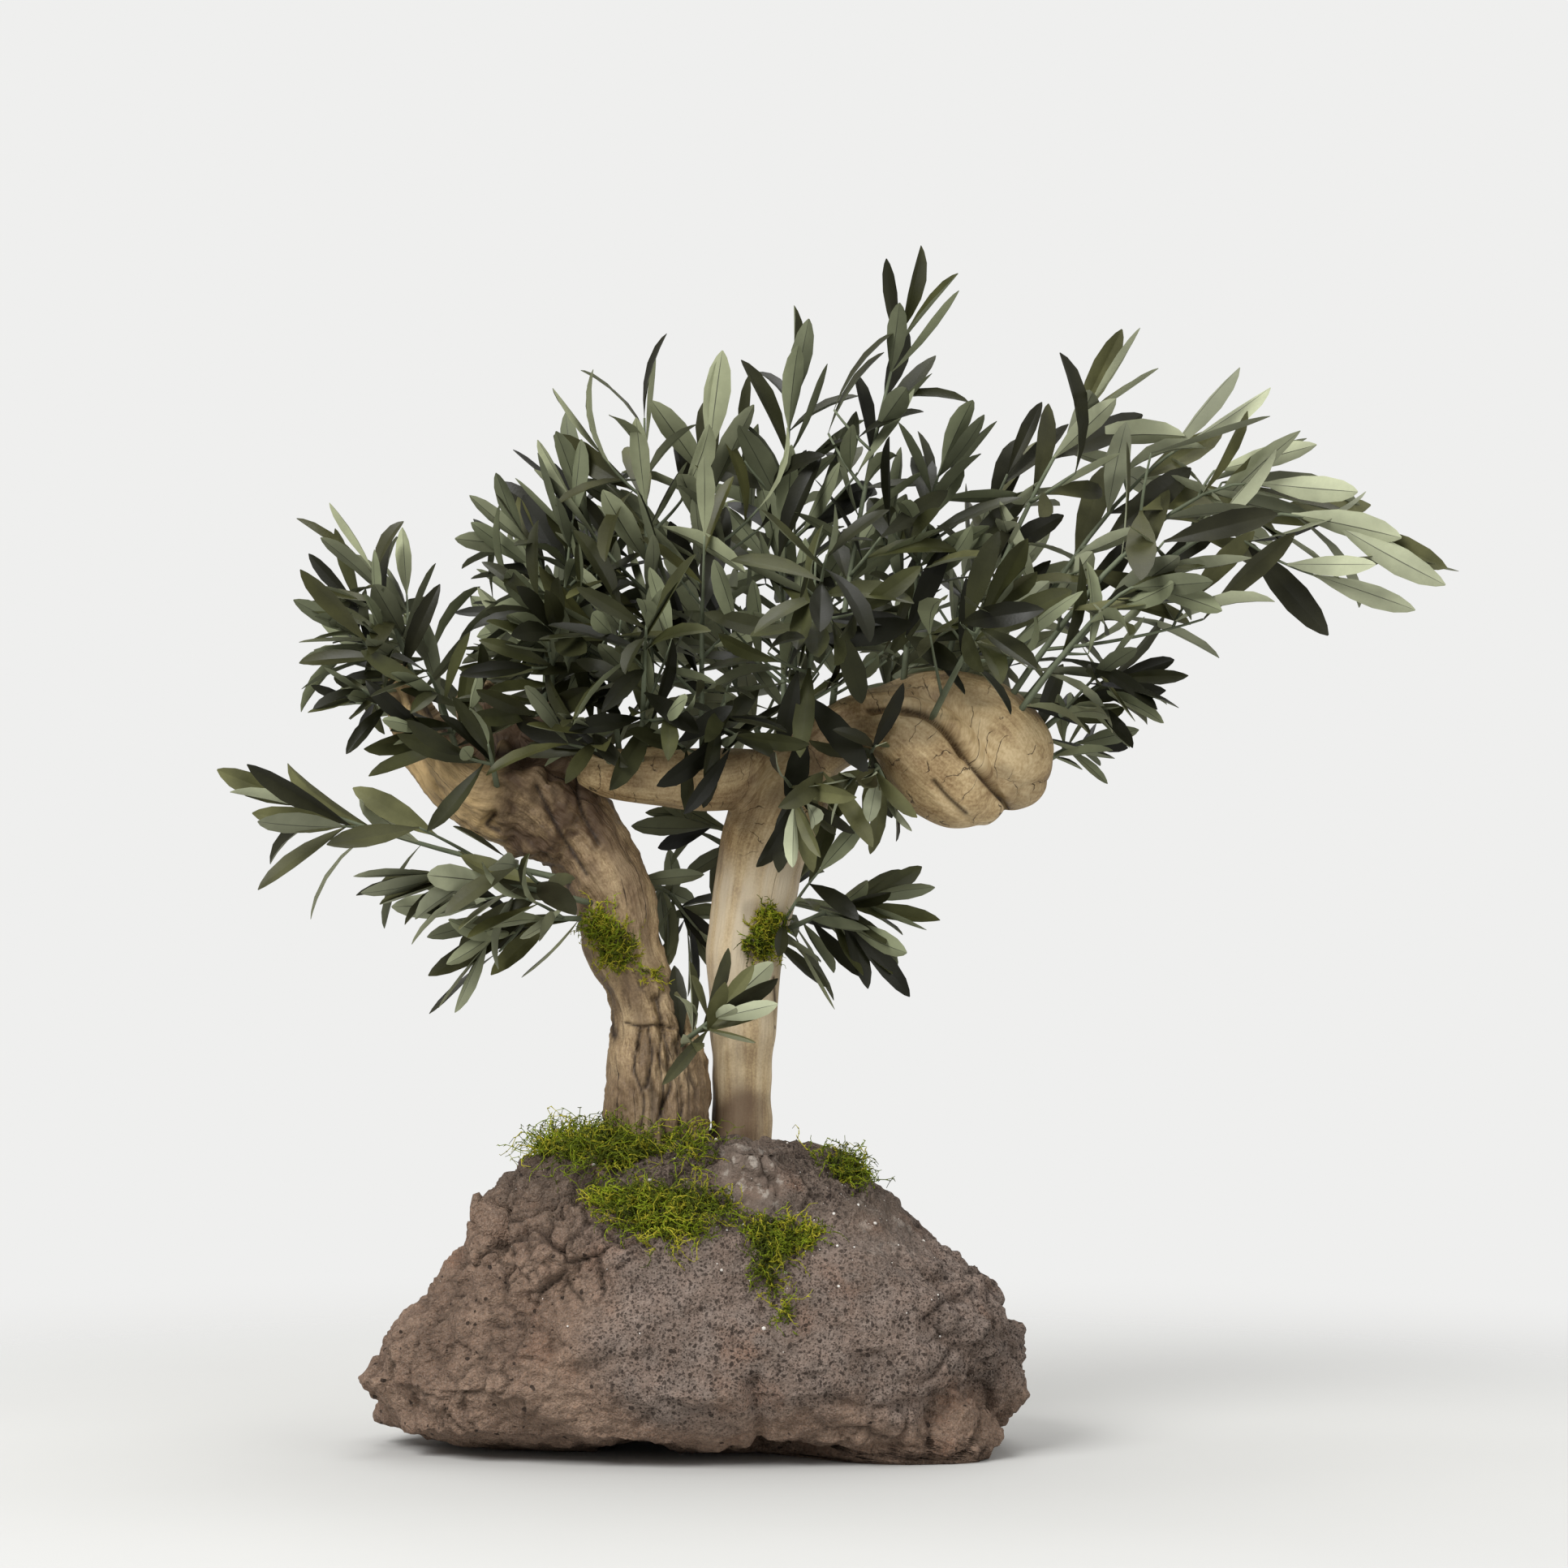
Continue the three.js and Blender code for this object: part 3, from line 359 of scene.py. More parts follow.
def ridged(points, size, octaves, seed=0):
    """Sharp crests from 0 to 1: one less the distance of each octave of noise from zero."""
    size = np.asarray(size, float)
    layers = [(1 - np.abs(noise(points, size / 2**k, seed + k))) / 2**k for k in range(octaves)]
    return sum(layers) / sum(1 / 2**k for k in range(octaves))


def spots_near(points, size, seed):
    """For each of the cells of that size about a point: how far the point is from the cell's random spot,
    counted in cells, and a number from 0 to 1 that is the spot's own."""
    scaled = points / np.asarray(size, float)
    cell = np.floor(scaled)
    for step in np.ndindex(3, 3, 3):
        other = cell + step - 1
        spot = other + np.stack([lattice(other, seed + k) for k in (11, 12, 13)], axis=1)
        yield np.linalg.norm(scaled - spot, axis=1), lattice(other, seed + 14)


def pits(points, size, seed=0):
    """Round pits from 0 to 1: how near a point is to a random spot, over that spot's own width."""
    nearest = np.full(len(points), FAR_CELLS)
    for gap, own in spots_near(points, size, seed):
        nearest = np.minimum(nearest, gap / (0.5 + own))
    return np.clip(1 - nearest / PIT_WIDTH, 0, 1)


def cells(points, size, seed=0):
    """Distances from the nearest and the second nearest of random spots, one in each cell of that size and
    counted in cells, and a number from 0 to 1 that is the nearest spot's own."""
    first = np.full(len(points), FAR_CELLS)
    second = first.copy()
    nearest_own = np.zeros(len(points))
    for gap, own in spots_near(points, size, seed):
        nearer = gap < first
        second = np.where(nearer, first, np.minimum(second, gap))
        nearest_own = np.where(nearer, own, nearest_own)
        first = np.where(nearer, gap, first)
    return first, second, nearest_own


def blocks(points, size, seed=0):
    """Broken blocks: each cell's own height from -1 to 1, flat to its edge, and a share from 0 to 1 that is
    highest in the cracks between cells."""
    first, second, own = cells(points, size, seed)
    inside = second - first
    return (2 * own - 1) * (1 - np.exp(-inside / BLOCK_SHOULDER)), np.exp(-inside / BLOCK_CRACK)


def smooth_step(value, low, high):
    """0 below low, 1 above high, and a smooth rise between them."""
    share = np.clip((value - low) / (high - low), 0, 1)
    return share * share * (3 - 2 * share)


def catmull_rom(stations, t):
    """The uniform Catmull-Rom curve through the rows of stations at shares t, its ends run on straight."""
    rows = np.asarray(stations, float)
    rows = np.vstack([2 * rows[0] - rows[1], rows, 2 * rows[-1] - rows[-2]])
    place = np.asarray(t) * (len(rows) - 3)
    span = np.clip(np.floor(place).astype(int), 0, len(rows) - 4)
    u = (place - span)[:, None]
    a, b, c, d = (rows[span + k] for k in range(4))
    return 0.5 * (2 * b + (c - a) * u + (2 * a - 5 * b + 4 * c - d) * u**2 + (3 * b - a - 3 * c + d) * u**3)


def bezier(corners, t):
    """The quadratic Bezier curve of three corners at shares t."""
    a, b, c = corners
    t = np.asarray(t, float)[..., None]
    return (1 - t) ** 2 * a + 2 * t * (1 - t) * b + t**2 * c


def bezier_along(corners, t):
    """The direction of a quadratic Bezier curve at shares t."""
    a, b, c = corners
    t = np.asarray(t, float)[..., None]
    return unit((1 - t) * (b - a) + t * (c - b))


def skins(rings):
    """Points and faces of closed skins: each one's rings are joined by four-sided faces, with a fan over each
    end. The array runs skin, ring, point of the ring, XYZ, and rings turn left round their path."""
    count, levels, sides = rings.shape[:3]
    size = levels * sides + 2
    grid = np.arange(levels * sides).reshape(levels, sides)
    after = np.roll(grid, -1, axis=1)
    quads = np.stack([grid[:-1], after[:-1], after[1:], grid[1:]], axis=-1).reshape(-1, 4)
    first = np.stack([np.full(sides, size - 2), after[0], grid[0]], axis=-1)
    last = np.stack([np.full(sides, size - 1), grid[-1], after[-1]], axis=-1)
    starts = np.arange(count)[:, None, None] * size
    poles = rings[:, [0, -1]].mean(axis=2)
    points = np.concatenate([rings.reshape(count, -1, 3), poles], axis=1).reshape(-1, 3)
    fans = (np.vstack([first, last]) + starts).reshape(-1, 3)
    return points, (quads + starts).reshape(-1, 4), fans


def joined(parts):
    """Several skins as one: their points in a row, and the faces of each counted on from the last."""
    starts = np.cumsum([0] + [len(points) for points, _, _ in parts])
    points = np.vstack([points for points, _, _ in parts])
    quads = np.vstack([quads + start for (_, quads, _), start in zip(parts, starts)])
    fans = np.vstack([fans + start for (_, _, fans), start in zip(parts, starts)])
    return points, quads, fans


def tubes(paths, radii, sides):
    """Rings of round tubes: at each point of a path, a circle square to the path."""
    along = unit(np.gradient(paths, axis=1))
    chord = np.abs(paths[:, -1] - paths[:, 0])
    level = np.eye(3)[chord.argmin(axis=1)][:, None]
    aside = unit(np.cross(along, level))
    behind = np.cross(along, aside)
    turn = np.linspace(0, 2 * np.pi, sides, endpoint=False)
    circle = np.cos(turn)[:, None] * aside[:, :, None] + np.sin(turn)[:, None] * behind[:, :, None]
    return paths[:, :, None] + radii[:, :, None, None] * circle


def vertex_normals(points, quads):
    """The mean direction of the four-sided faces round each point."""
    corners = points[quads]
    facing = np.cross(corners[:, 2] - corners[:, 0], corners[:, 3] - corners[:, 1])
    total = np.zeros_like(points)
    for k in range(4):
        np.add.at(total, quads[:, k], facing)
    return unit(total)


def put_mesh(name, points, *faces):
    """A mesh of points in millimetres and of faces in groups of equal size."""
    mesh = bpy.data.meshes.new(name)
    faces = [group for group in faces if len(group)]
    corners = np.concatenate([group.ravel() for group in faces]).astype(np.int32)
    sizes = np.concatenate([np.full(len(group), group.shape[1]) for group in faces])
    mesh.vertices.add(len(points))
    mesh.vertices.foreach_set("co", (points * MM).astype(np.float32).ravel())
    mesh.loops.add(len(corners))
    mesh.loops.foreach_set("vertex_index", corners)
    mesh.polygons.add(len(sizes))
    mesh.polygons.foreach_set("loop_start", np.concatenate([[0], np.cumsum(sizes)[:-1]]).astype(np.int32))
    mesh.update(calc_edges=True)
    mesh.validate()
    return mesh


def put_attribute(mesh, name, kind, values):
    """A value for each vertex: a FLOAT_COLOR or a FLOAT_VECTOR."""
    layer = mesh.attributes.new(name, kind, "POINT")
    field = "color" if kind == "FLOAT_COLOR" else "vector"
    layer.data.foreach_set(field, values.astype(np.float32).ravel())


def put_object(name, data):
    """An object of the scene round its data."""
    made = bpy.data.objects.new(name, data)
    bpy.context.scene.collection.objects.link(made)
    return made


def put_piece(mesh, materials, nodes=(), face_looks=None, sharp=None):
    """A finished piece of the tree: its mesh with its materials, riding on the one body. Edges sharper than
    an angle may stay sharp."""
    for material in materials:
        mesh.materials.append(material)
    mesh.polygons.foreach_set("use_smooth", np.ones(len(mesh.polygons), bool))
    if face_looks is not None:
        mesh.polygons.foreach_set("material_index", face_looks.astype(np.int32))
    if sharp is not None:
        mesh.set_sharp_from_angle(angle=sharp)
    piece = put_object(mesh.name, mesh)
    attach(piece, "root")
    if nodes:
        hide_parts(*nodes)


def colour(red, green, blue):
    """A screen colour of 0 to 255 as linear light."""
    screen = np.array([red, green, blue]) / 255
    linear = np.where(screen <= 0.04045, screen / 12.92, ((screen + 0.055) / 1.055) ** 2.4)
    return (*linear.tolist(), 1.0)


# Shader nodes
def add(tree, kind, inputs=None, **settings):
    """A shader node with its settings. An input is a value, or a socket that is linked to it."""
    made = tree.nodes.new("ShaderNode" + kind)
    for name, value in settings.items():
        setattr(made, name, value)
    for name, value in (inputs or {}).items():
        if isinstance(value, bpy.types.NodeSocket):
            tree.links.new(value, made.inputs[name])
        else:
            made.inputs[name].default_value = value
    return made


def mixed(tree, share, first, second):
    """One colour over another by a share."""
    return add(tree, "Mix", {0: share, 6: first, 7: second}, data_type="RGBA").outputs[2]


def figure(tree, operation, first, second=0.0, clamp=False):
    """A sum on one or two values."""
    return add(tree, "Math", {0: first, 1: second}, operation=operation, use_clamp=clamp).outputs[0]


def laid(tree, under, *layers):
    """A colour with others laid over it in turn, each by a mask at a strength."""
    for mask, strength, shade in layers:
        under = mixed(tree, figure(tree, "MULTIPLY", mask, strength), under, shade)
    return under


def weighed(tree, *parts):
    """The sum of values, each times its weight."""
    total = 0.0
    for value, weight in parts:
        total = figure(tree, "ADD", total, figure(tree, "MULTIPLY", value, weight))
    return total


def ranged(tree, value, low, high, to_low=0.0, to_high=1.0):
    """A value carried smoothly from one range to another."""
    inputs = {"Value": value, "From Min": low, "From Max": high, "To Min": to_low, "To Max": to_high}
    return add(tree, "MapRange", inputs, interpolation_type="SMOOTHSTEP").outputs[0]


def ramp(tree, value, stops):
    """Colours along a value from 0 to 1: pairs of place and colour."""
    made = add(tree, "ValToRGB", {"Fac": value})
    elements = made.color_ramp.elements
    while len(elements) < len(stops):
        elements.new(0.5)
    for element, (place, shade) in zip(elements, stops):
        element.position = place
        element.color = shade
    return made.outputs["Color"]


def effect_group(name, inputs):
    """An empty node group with a Vector input, further values, and a Mask output."""
    tree = bpy.data.node_groups.new(name, "ShaderNodeTree")
    tree.interface.new_socket("Vector", in_out="INPUT", socket_type="NodeSocketVector")
    for label, value in inputs.items():
        socket = tree.interface.new_socket(label, in_out="INPUT", socket_type="NodeSocketFloat")
        socket.default_value = value
    tree.interface.new_socket("Mask", in_out="OUTPUT", socket_type="NodeSocketFloat")
    source = tree.nodes.new("NodeGroupInput").outputs
    sink = tree.nodes.new("NodeGroupOutput").inputs["Mask"]
    return tree, source, sink


def mottle_group():
    """Soft patches: broken noise, spread from Low to High."""
    tree, source, sink = effect_group("Mottle", {"Scale": 50.0, "Low": 0.35, "High": 0.65})
    clouds = add(tree, "TexNoise", {"Vector": source["Vector"], "Scale": source["Scale"], "Detail": 4.0})
    mask = ranged(tree, clouds.outputs["Fac"], source["Low"], source["High"])
    tree.links.new(mask, sink)
    return tree


PORE_STRAY = 0.9  # how far pores are bent out of round, over the size of their cells
PORE_EDGE = 0.11  # from a pore's rim to its full depth


def pore_group():
    """Open pores: spots at random in cells, each of its own width, some of them shut."""
    tree, source, sink = effect_group("Pores", {"Scale": 200.0, "Width": 0.4, "Shut": 0.3})
    wander = add(tree, "TexNoise", {"Vector": source["Vector"], "Scale": source["Scale"], "Detail": 1.0})
    shift = add(tree, "VectorMath", {0: wander.outputs["Color"], 1: (0.5, 0.5, 0.5)}, operation="SUBTRACT")
    over = figure(tree, "DIVIDE", PORE_STRAY, source["Scale"])
    drift = add(tree, "VectorMath", {0: shift.outputs[0], "Scale": over}, operation="SCALE")
    bent = add(tree, "VectorMath", {0: source["Vector"], 1: drift.outputs[0]}, operation="ADD")
    spots = add(tree, "TexVoronoi", {"Vector": bent.outputs[0], "Scale": source["Scale"]})
    own = add(tree, "SeparateColor", {"Color": spots.outputs["Color"]})
    width = figure(tree, "MULTIPLY", source["Width"], ranged(tree, own.outputs[0], source["Shut"], 1.0))
    depth = figure(tree, "SUBTRACT", width, spots.outputs["Distance"])
    tree.links.new(ranged(tree, depth, 0.0, PORE_EDGE), sink)
    return tree


def crack_group():
    """Hairline cracks: a course of whole numbers wavers by noise, and a line shows where it passes one of
    them, in the places that a second noise leaves open. Open is the share that shows."""
    values = {"Course": 0.0, "Scale": 60.0, "Waver": 1.0, "Width": 0.03, "Open": 0.4}
    tree, source, sink = effect_group("Cracks", values)
    field = add(tree, "TexNoise", {"Vector": source["Vector"], "Scale": source["Scale"], "Detail": 4.0})
    waver = figure(tree, "MULTIPLY", figure(tree, "SUBTRACT", field.outputs["Fac"], 0.5), source["Waver"])
    near = figure(tree, "PINGPONG", figure(tree, "ADD", source["Course"], waver), 0.5)
    line = ranged(tree, figure(tree, "DIVIDE", near, source["Width"]), 0.3, 1.0, 1.0, 0.0)
    aside = add(tree, "VectorMath", {0: source["Vector"], 1: (0.31, 0.17, 0.23)}, operation="ADD")
    gate = add(tree, "TexNoise", {"Vector": aside.outputs[0], "Scale": source["Scale"], "Detail": 1.0})
    bar = ranged(tree, source["Open"], 0.0, 1.0, 0.75, 0.25)
    here = ranged(tree, figure(tree, "SUBTRACT", gate.outputs["Fac"], bar), 0.0, 0.06)
    tree.links.new(figure(tree, "MULTIPLY", line, here), sink)
    return tree


MOTTLE, PORES, CRACKS = mottle_group(), pore_group(), crack_group()


def effect(tree, group, vector, **values):
    """The Mask of a shared effect with its own values. A value may be a socket that is linked to it."""
    return add(tree, "Group", {"Vector": vector, **values}, node_tree=group).outputs["Mask"]


def new_material(name):
    """A material with its surface shader, and the tree that feeds it."""
    material = bpy.data.materials.new(name)
    material.use_nodes = True
    tree = material.node_tree
    surface = tree.nodes["Principled BSDF"]
    return material, tree, surface


def relief(tree, surface, height, distance):
    """Bumps of a height from 0 to 1 over a distance in metres."""
    bump = add(tree, "Bump", {"Height": height, "Distance": distance, "Strength": 1.0})
    tree.links.new(bump.outputs["Normal"], surface.inputs["Normal"])


def place_in_object(tree):
    """Object coordinates, in metres."""
    return add(tree, "TexCoord").outputs["Object"]


def zone_masks(tree):
    """The four colour zones of a piece: three masks and a fourth for the painted shade in its hollows."""
    zones = add(tree, "Attribute", attribute_name="zones").outputs
    masks = add(tree, "SeparateColor", {"Color": zones["Color"]}).outputs
    return masks[0], masks[1], masks[2], zones["Alpha"]


def lava_material():
    """Porous lava: grey and brown by zone, with rusty patches, darker on top, painted shade in its hollows,
    and pores of three sizes, densest in the grey and with painted shade inside them, and white dust."""
    material, tree, surface = new_material("lava")
    place = place_in_object(tree)
    grey, darker_top, white, hollow_shade = zone_masks(tree)
    patches = effect(tree, MOTTLE, place, Scale=38.0, Low=0.3, High=0.7)
    grains = effect(tree, MOTTLE, place, Scale=420.0, Low=0.25, High=0.75)
    crumbs = effect(tree, MOTTLE, place, Scale=1100.0, Low=0.3, High=0.7)
    spots = effect(tree, MOTTLE, place, Scale=95.0, Low=0.35, High=0.65)
    rust = effect(tree, MOTTLE, place, Scale=24.0, Low=0.55, High=0.72)
    dust = effect(tree, MOTTLE, place, Scale=150.0, Low=0.55, High=0.66)
    knobs = effect(tree, MOTTLE, place, Scale=150.0, Low=0.25, High=0.75)
    wide = effect(tree, PORES, place, Scale=200.0, Width=0.32, Shut=0.6)
    common = effect(tree, PORES, place, Scale=380.0, Width=0.46, Shut=0.12)
    fine = effect(tree, PORES, place, Scale=740.0, Width=0.5, Shut=-0.6)
    pores = figure(tree, "MAXIMUM", common, figure(tree, "MULTIPLY", fine, 0.75))
    pores = figure(tree, "MULTIPLY", pores, ranged(tree, grey, 0.0, 1.0, 0.3, 0.9))
    pores = figure(tree, "MAXIMUM", wide, pores)
    pores = figure(tree, "MULTIPLY", pores, figure(tree, "SUBTRACT", 1.0, white, clamp=True))
    brown_stone = mixed(tree, patches, colour(122, 97, 79), colour(158, 131, 110))
    grey_stone = mixed(tree, patches, colour(114, 100, 91), colour(146, 130, 120))
    stone = laid(
        tree,
        mixed(tree, grey, brown_stone, grey_stone),
        (spots, 0.3, colour(138, 110, 92)),
        # darker towards the top
        (darker_top, 0.8, colour(82, 68, 56)),
        (rust, 0.42, colour(150, 107, 80)),
        (grains, 0.4, colour(72, 58, 50)),
        (crumbs, 0.25, colour(178, 164, 152)),
        # painted shade in the stone's hollows and in the cracks between its blocks
        (hollow_shade, 0.75, colour(52, 42, 35)),
        # the pores are real holes, and their dark colour is painted shade inside them
        (pores, 0.88, colour(44, 35, 30)),
        (white, 0.5, colour(108, 96, 85)),
        (figure(tree, "MULTIPLY", dust, white), 0.5, colour(196, 188, 177)),
    )
    tree.links.new(stone, surface.inputs["Base Color"])
    knobs = figure(tree, "MULTIPLY", knobs, ranged(tree, grey, 0.0, 1.0, 1.6, 0.6))
    rise = weighed(tree, (knobs, 1.0), (grains, 0.85), (crumbs, 0.3), (pores, -0.8))
    rise = figure(tree, "MULTIPLY", rise, ranged(tree, white, 0.0, 1.0, 1.0, 0.7))
    relief(tree, surface, rise, 1.2 * MM)
    tree.links.new(ranged(tree, grains, 0.0, 1.0, 0.86, 0.98), surface.inputs["Roughness"])
    surface.inputs["Specular IOR Level"].default_value = 0.25
    return material


def wood_material(name, shades, bleached, stain_and_shade_tone, crack_shade, checks, splits, fibre_height, drawn_out):
    """Dry wood: fibres drawn out along the limb in shades from dark to light, bleached in bands, stained and
    given painted shade by zone, with painted shade in its creases and hollows, and with checks across and
    splits along the grain, each given by its number to the metre or to the turn, its width, and the share
    that shows."""
    material, tree, surface = new_material(name)
    grain = add(tree, "Attribute", attribute_name="grain").outputs["Vector"]
    stain_and_shade, crease_shade, pale, hollow_shade = zone_masks(tree)
    drawn = add(tree, "VectorMath", {0: grain, 1: (1.0, 1.0, drawn_out)}, operation="MULTIPLY").outputs[0]
    fibres = effect(tree, MOTTLE, drawn, Scale=620.0, Low=0.25, High=0.75)
    bands = effect(tree, MOTTLE, drawn, Scale=120.0, Low=0.3, High=0.7)
    clouds = effect(tree, MOTTLE, grain, Scale=45.0, Low=0.3, High=0.7)
    specks = effect(tree, MOTTLE, grain, Scale=900.0, Low=0.3, High=0.7)
    wood = ramp(tree, weighed(tree, (bands, 0.2), (fibres, 0.25), (clouds, 0.35), (specks, 0.2)), shades)
    bleach = figure(tree, "MULTIPLY", pale, ranged(tree, bands, 0.0, 1.0, 0.25, 0.8))
    wood = mixed(tree, bleach, wood, bleached)
    # stains, and on the left bough painted shade inside its scoop
    wood = mixed(tree, stain_and_shade, wood, stain_and_shade_tone)
    place = add(tree, "SeparateXYZ", {"Vector": grain}).outputs
    turns = figure(tree, "DIVIDE", figure(tree, "ARCTAN2", place[0], place[1]), 2 * np.pi)
    lines = []
    for course, vector, (count, width, shown), waver in (
        (place[2], grain, checks, 2.6), (turns, drawn, splits, 2.2),
    ):
        values = {"Course": figure(tree, "MULTIPLY", course, count), "Scale": 75.0, "Waver": waver}
        lines.append(effect(tree, CRACKS, vector, Width=width, Open=shown, **values))
    across = figure(tree, "MULTIPLY", lines[0], ranged(tree, pale, 0.0, 0.4, 1.0, 0.0))
    cracks = figure(tree, "MAXIMUM", across, lines[1])
    # hairline cracks, and painted shade in the hollows
    wood = laid(tree, wood, (cracks, 0.8, crack_shade), (hollow_shade, 0.6, crack_shade))
    # painted shade along the creases
    wood = mixed(tree, crease_shade, wood, crack_shade)
    tree.links.new(wood, surface.inputs["Base Color"])
    rise = figure(tree, "SUBTRACT", figure(tree, "MULTIPLY", fibres, fibre_height), cracks)
    relief(tree, surface, rise, 0.8 * MM)
    tree.links.new(ranged(tree, fibres, 0.0, 1.0, 0.5, 0.7), surface.inputs["Roughness"])
    surface.inputs["Specular IOR Level"].default_value = 0.35
    return material


def leaf_material(name, dark, light, rough_low, rough_high, gloss=0.3):
    """A leaf's side: one tint in soft patches, with a fine grain."""
    material, tree, surface = new_material(name)
    place = place_in_object(tree)
    patches = effect(tree, MOTTLE, place, Scale=40.0, Low=0.3, High=0.7)
    grains = effect(tree, MOTTLE, place, Scale=700.0, Low=0.2, High=0.8)
    tint = mixed(tree, patches, dark, light)
    tint = mixed(tree, figure(tree, "MULTIPLY", grains, 0.2), tint, dark)
    tree.links.new(tint, surface.inputs["Base Color"])
    tree.links.new(ranged(tree, patches, 0.0, 1.0, rough_low, rough_high), surface.inputs["Roughness"])
    relief(tree, surface, grains, 0.03 * MM)
    surface.inputs["Specular IOR Level"].default_value = gloss
    return material


# Stone
def stone_section(height, angle):
    """Edge of the stone's level section: an ellipse with full corners whose four quarters have their own
    reach, with a rugged edge of three waves round it."""
    cosine, sine = np.cos(angle), np.sin(angle)
    waves = np.sin(5 * angle + height / 17) + np.sin(9 * angle - height / 11)
    waves += np.sin(14 * angle + height / 7)
    reach = {side: np.interp(height, STONE_HEIGHTS, levels) for side, levels in STONE_REACH.items()}
    across = np.where(cosine < 0, reach["left"], reach["right"])
    deep = np.where(sine < 0, reach["front"], reach["back"])
    full_cosine = np.sign(cosine) * np.abs(cosine) ** STONE_SQUARENESS
    full_sine = np.sign(sine) * np.abs(sine) ** STONE_SQUARENESS
    rugged = 1 + STONE_RUGGED * waves
    return full_cosine * across * rugged, full_sine * deep * rugged


def lump_reach(lump, bearing, height):
    """How far a lump reaches from the Z axis on a bearing: the far root of its ellipsoid's equation."""
    (x, y, z), (half_x, half_y, half_z) = lump
    cosine, sine = np.cos(bearing), np.sin(bearing)
    a = (cosine / half_x) ** 2 + (sine / half_y) ** 2
    b = cosine * x / half_x**2 + sine * y / half_y**2
    c = (x / half_x) ** 2 + (y / half_y) ** 2 + ((height - z) / half_z) ** 2 - 1
    inside = b * b - a * c
    return np.where(inside > 0, (b + np.sqrt(np.maximum(inside, 0))) / a, 0)


def smooth_max(first, second, blend):
    """The larger of two values, rounded where they are within the blend of each other."""
    near = np.maximum(blend - np.abs(first - second), 0) / blend
    return np.maximum(first, second) + near * near * blend / 4


def arch_height(x, y):
    """Height of the hollows under the stone: half an ellipse across X, along a stretch of Y."""
    height = np.zeros_like(x)
    for middle, half, tall, start, end in STONE_ARCHES:
        aside = np.clip(1 - ((x - middle) / half) ** 2, 0, None)
        inside = (y > start) & (y < end)
        height = np.maximum(height, inside * tall * np.sqrt(aside))
    return height


def stone_rings():
    """Rings round the Z axis: out along the underside, up the side, and in over the top. Each ring is the
    stone's section at its height, with broad swells, grown to take in the lumps and lifted over the
    arches."""
    narrow = 0.03
    under = np.linspace(narrow, 1, STONE_UNDER_RINGS, endpoint=False)
    rise = np.linspace(0, 1, STONE_SIDE_RINGS)
    close = np.linspace(1, narrow, STONE_TOP_RINGS + 1)[1:]
    edge = STONE_HEIGHTS[-1]
    domed = edge + (STONE_TOP - edge) * (1 - close**2)
    heights = np.concatenate([np.zeros(len(under)), edge * rise**STONE_RISE_POWER, domed])
    shares = np.concatenate([under, np.ones(len(rise)), close])
    angle = np.linspace(0, 2 * np.pi, STONE_SIDES, endpoint=False)
    height = np.repeat(heights[:, None], STONE_SIDES, axis=1)
    x, y = stone_section(height, angle[None])
    bearing = np.arctan2(y, x)
    fade = smooth_step(height, 2, 14) * smooth_step(edge - height, 2, 20)
    swells = noise(np.stack([x, y, height], axis=-1).reshape(-1, 3), STONE_SWELL_SIZE, 1)
    reach = np.hypot(x, y) + STONE_SWELL * fade * swells.reshape(height.shape)
    for lump in (STONE_TOE, STONE_MORTAR, STONE_CHIP):
        reach = smooth_max(reach, lump_reach(lump, bearing, height), LUMP_BLEND)
    reach = reach * shares[:, None]
    x, y = reach * np.cos(bearing), reach * np.sin(bearing)
    return np.stack([x, y, np.maximum(height, arch_height(x, y))], axis=-1)


PATH_POINTS = 25


def near_path(points, path):
    """Distance of points, as seen from the front, from a smooth line through (x, z) stations: the least of
    their distances from its straight pieces."""
    line = catmull_rom(path, np.linspace(0, 1, PATH_POINTS))
    seen = points[:, [0, 2]]
    nearest = np.full(len(points), np.inf)
    for start, end in zip(line[:-1], line[1:]):
        run = end - start
        share = np.clip((seen - start) @ run / (run @ run), 0, 1)
        nearest = np.minimum(nearest, np.linalg.norm(seen - start - share[:, None] * run, axis=1))
    return nearest


def bell(distance, width):
    """1 at no distance, falling off over the width."""
    return np.exp(-((distance / width) ** 2))


def creased(points, creases, front):
    """How far creases on the front, before a level of Y, push a surface in: the sum of bells, each across its
    crease's line."""
    push = np.zeros(len(points))
    for path, width, depth in creases:
        push += (points[:, 1] < front) * depth * bell(near_path(points, path), width)
    return push


def ellipse_distance(points, middle, half):
    """Distance of points, as seen from the front, from the middle of an ellipse whose edge is at 1."""
    return np.hypot((points[:, 0] - middle[0]) / half[0], (points[:, 2] - middle[1]) / half[1])


STONE_FRONT = 0  # creases lie before this level of Y
STONE_CREASES = (
    # (x, z) stations, width, depth
    (((22, 46), (24, 26), (23, 6)), 4.5, 7),
    (((-116, 122), (-96, 132), (-72, 124), (-64, 106), (-78, 93)), 3.5, 4),
    (((-112, 118), (-104, 102), (-96, 94)), 3, 4.5),
    (((-96, 84), (-84, 64), (-64, 52), (-50, 58)), 7, 4),
    (((58, 36), (84, 30), (112, 34)), 3, 3),
    (((26, 116), (20, 90), (14, 62)), 9, 2.5),
)
STONE_CRAGS = (
    # ellipses on the front where the stone is broken into blocks: middle, half sizes, and share
    ((-85, 114), (52, 36), 1.0),
    ((-130, 60), (60, 50), 0.55),
    ((0, 150), (120, 28), 0.6),
    ((140, 60), (40, 60), 0.5),
    ((100, 8), (70, 26), 0.5),
)
LEAST_CRAG = 0.14  # share of blocks where the stone is smoothest
# Blocks of the craggy stone: size, seed, height, depth of the cracks between them, and darkness of their
# painted shade
STONE_BLOCKS = ((27, 70, 4.2, 5.0, 1.3), (11, 75, 1.8, 2.2, 0.9))


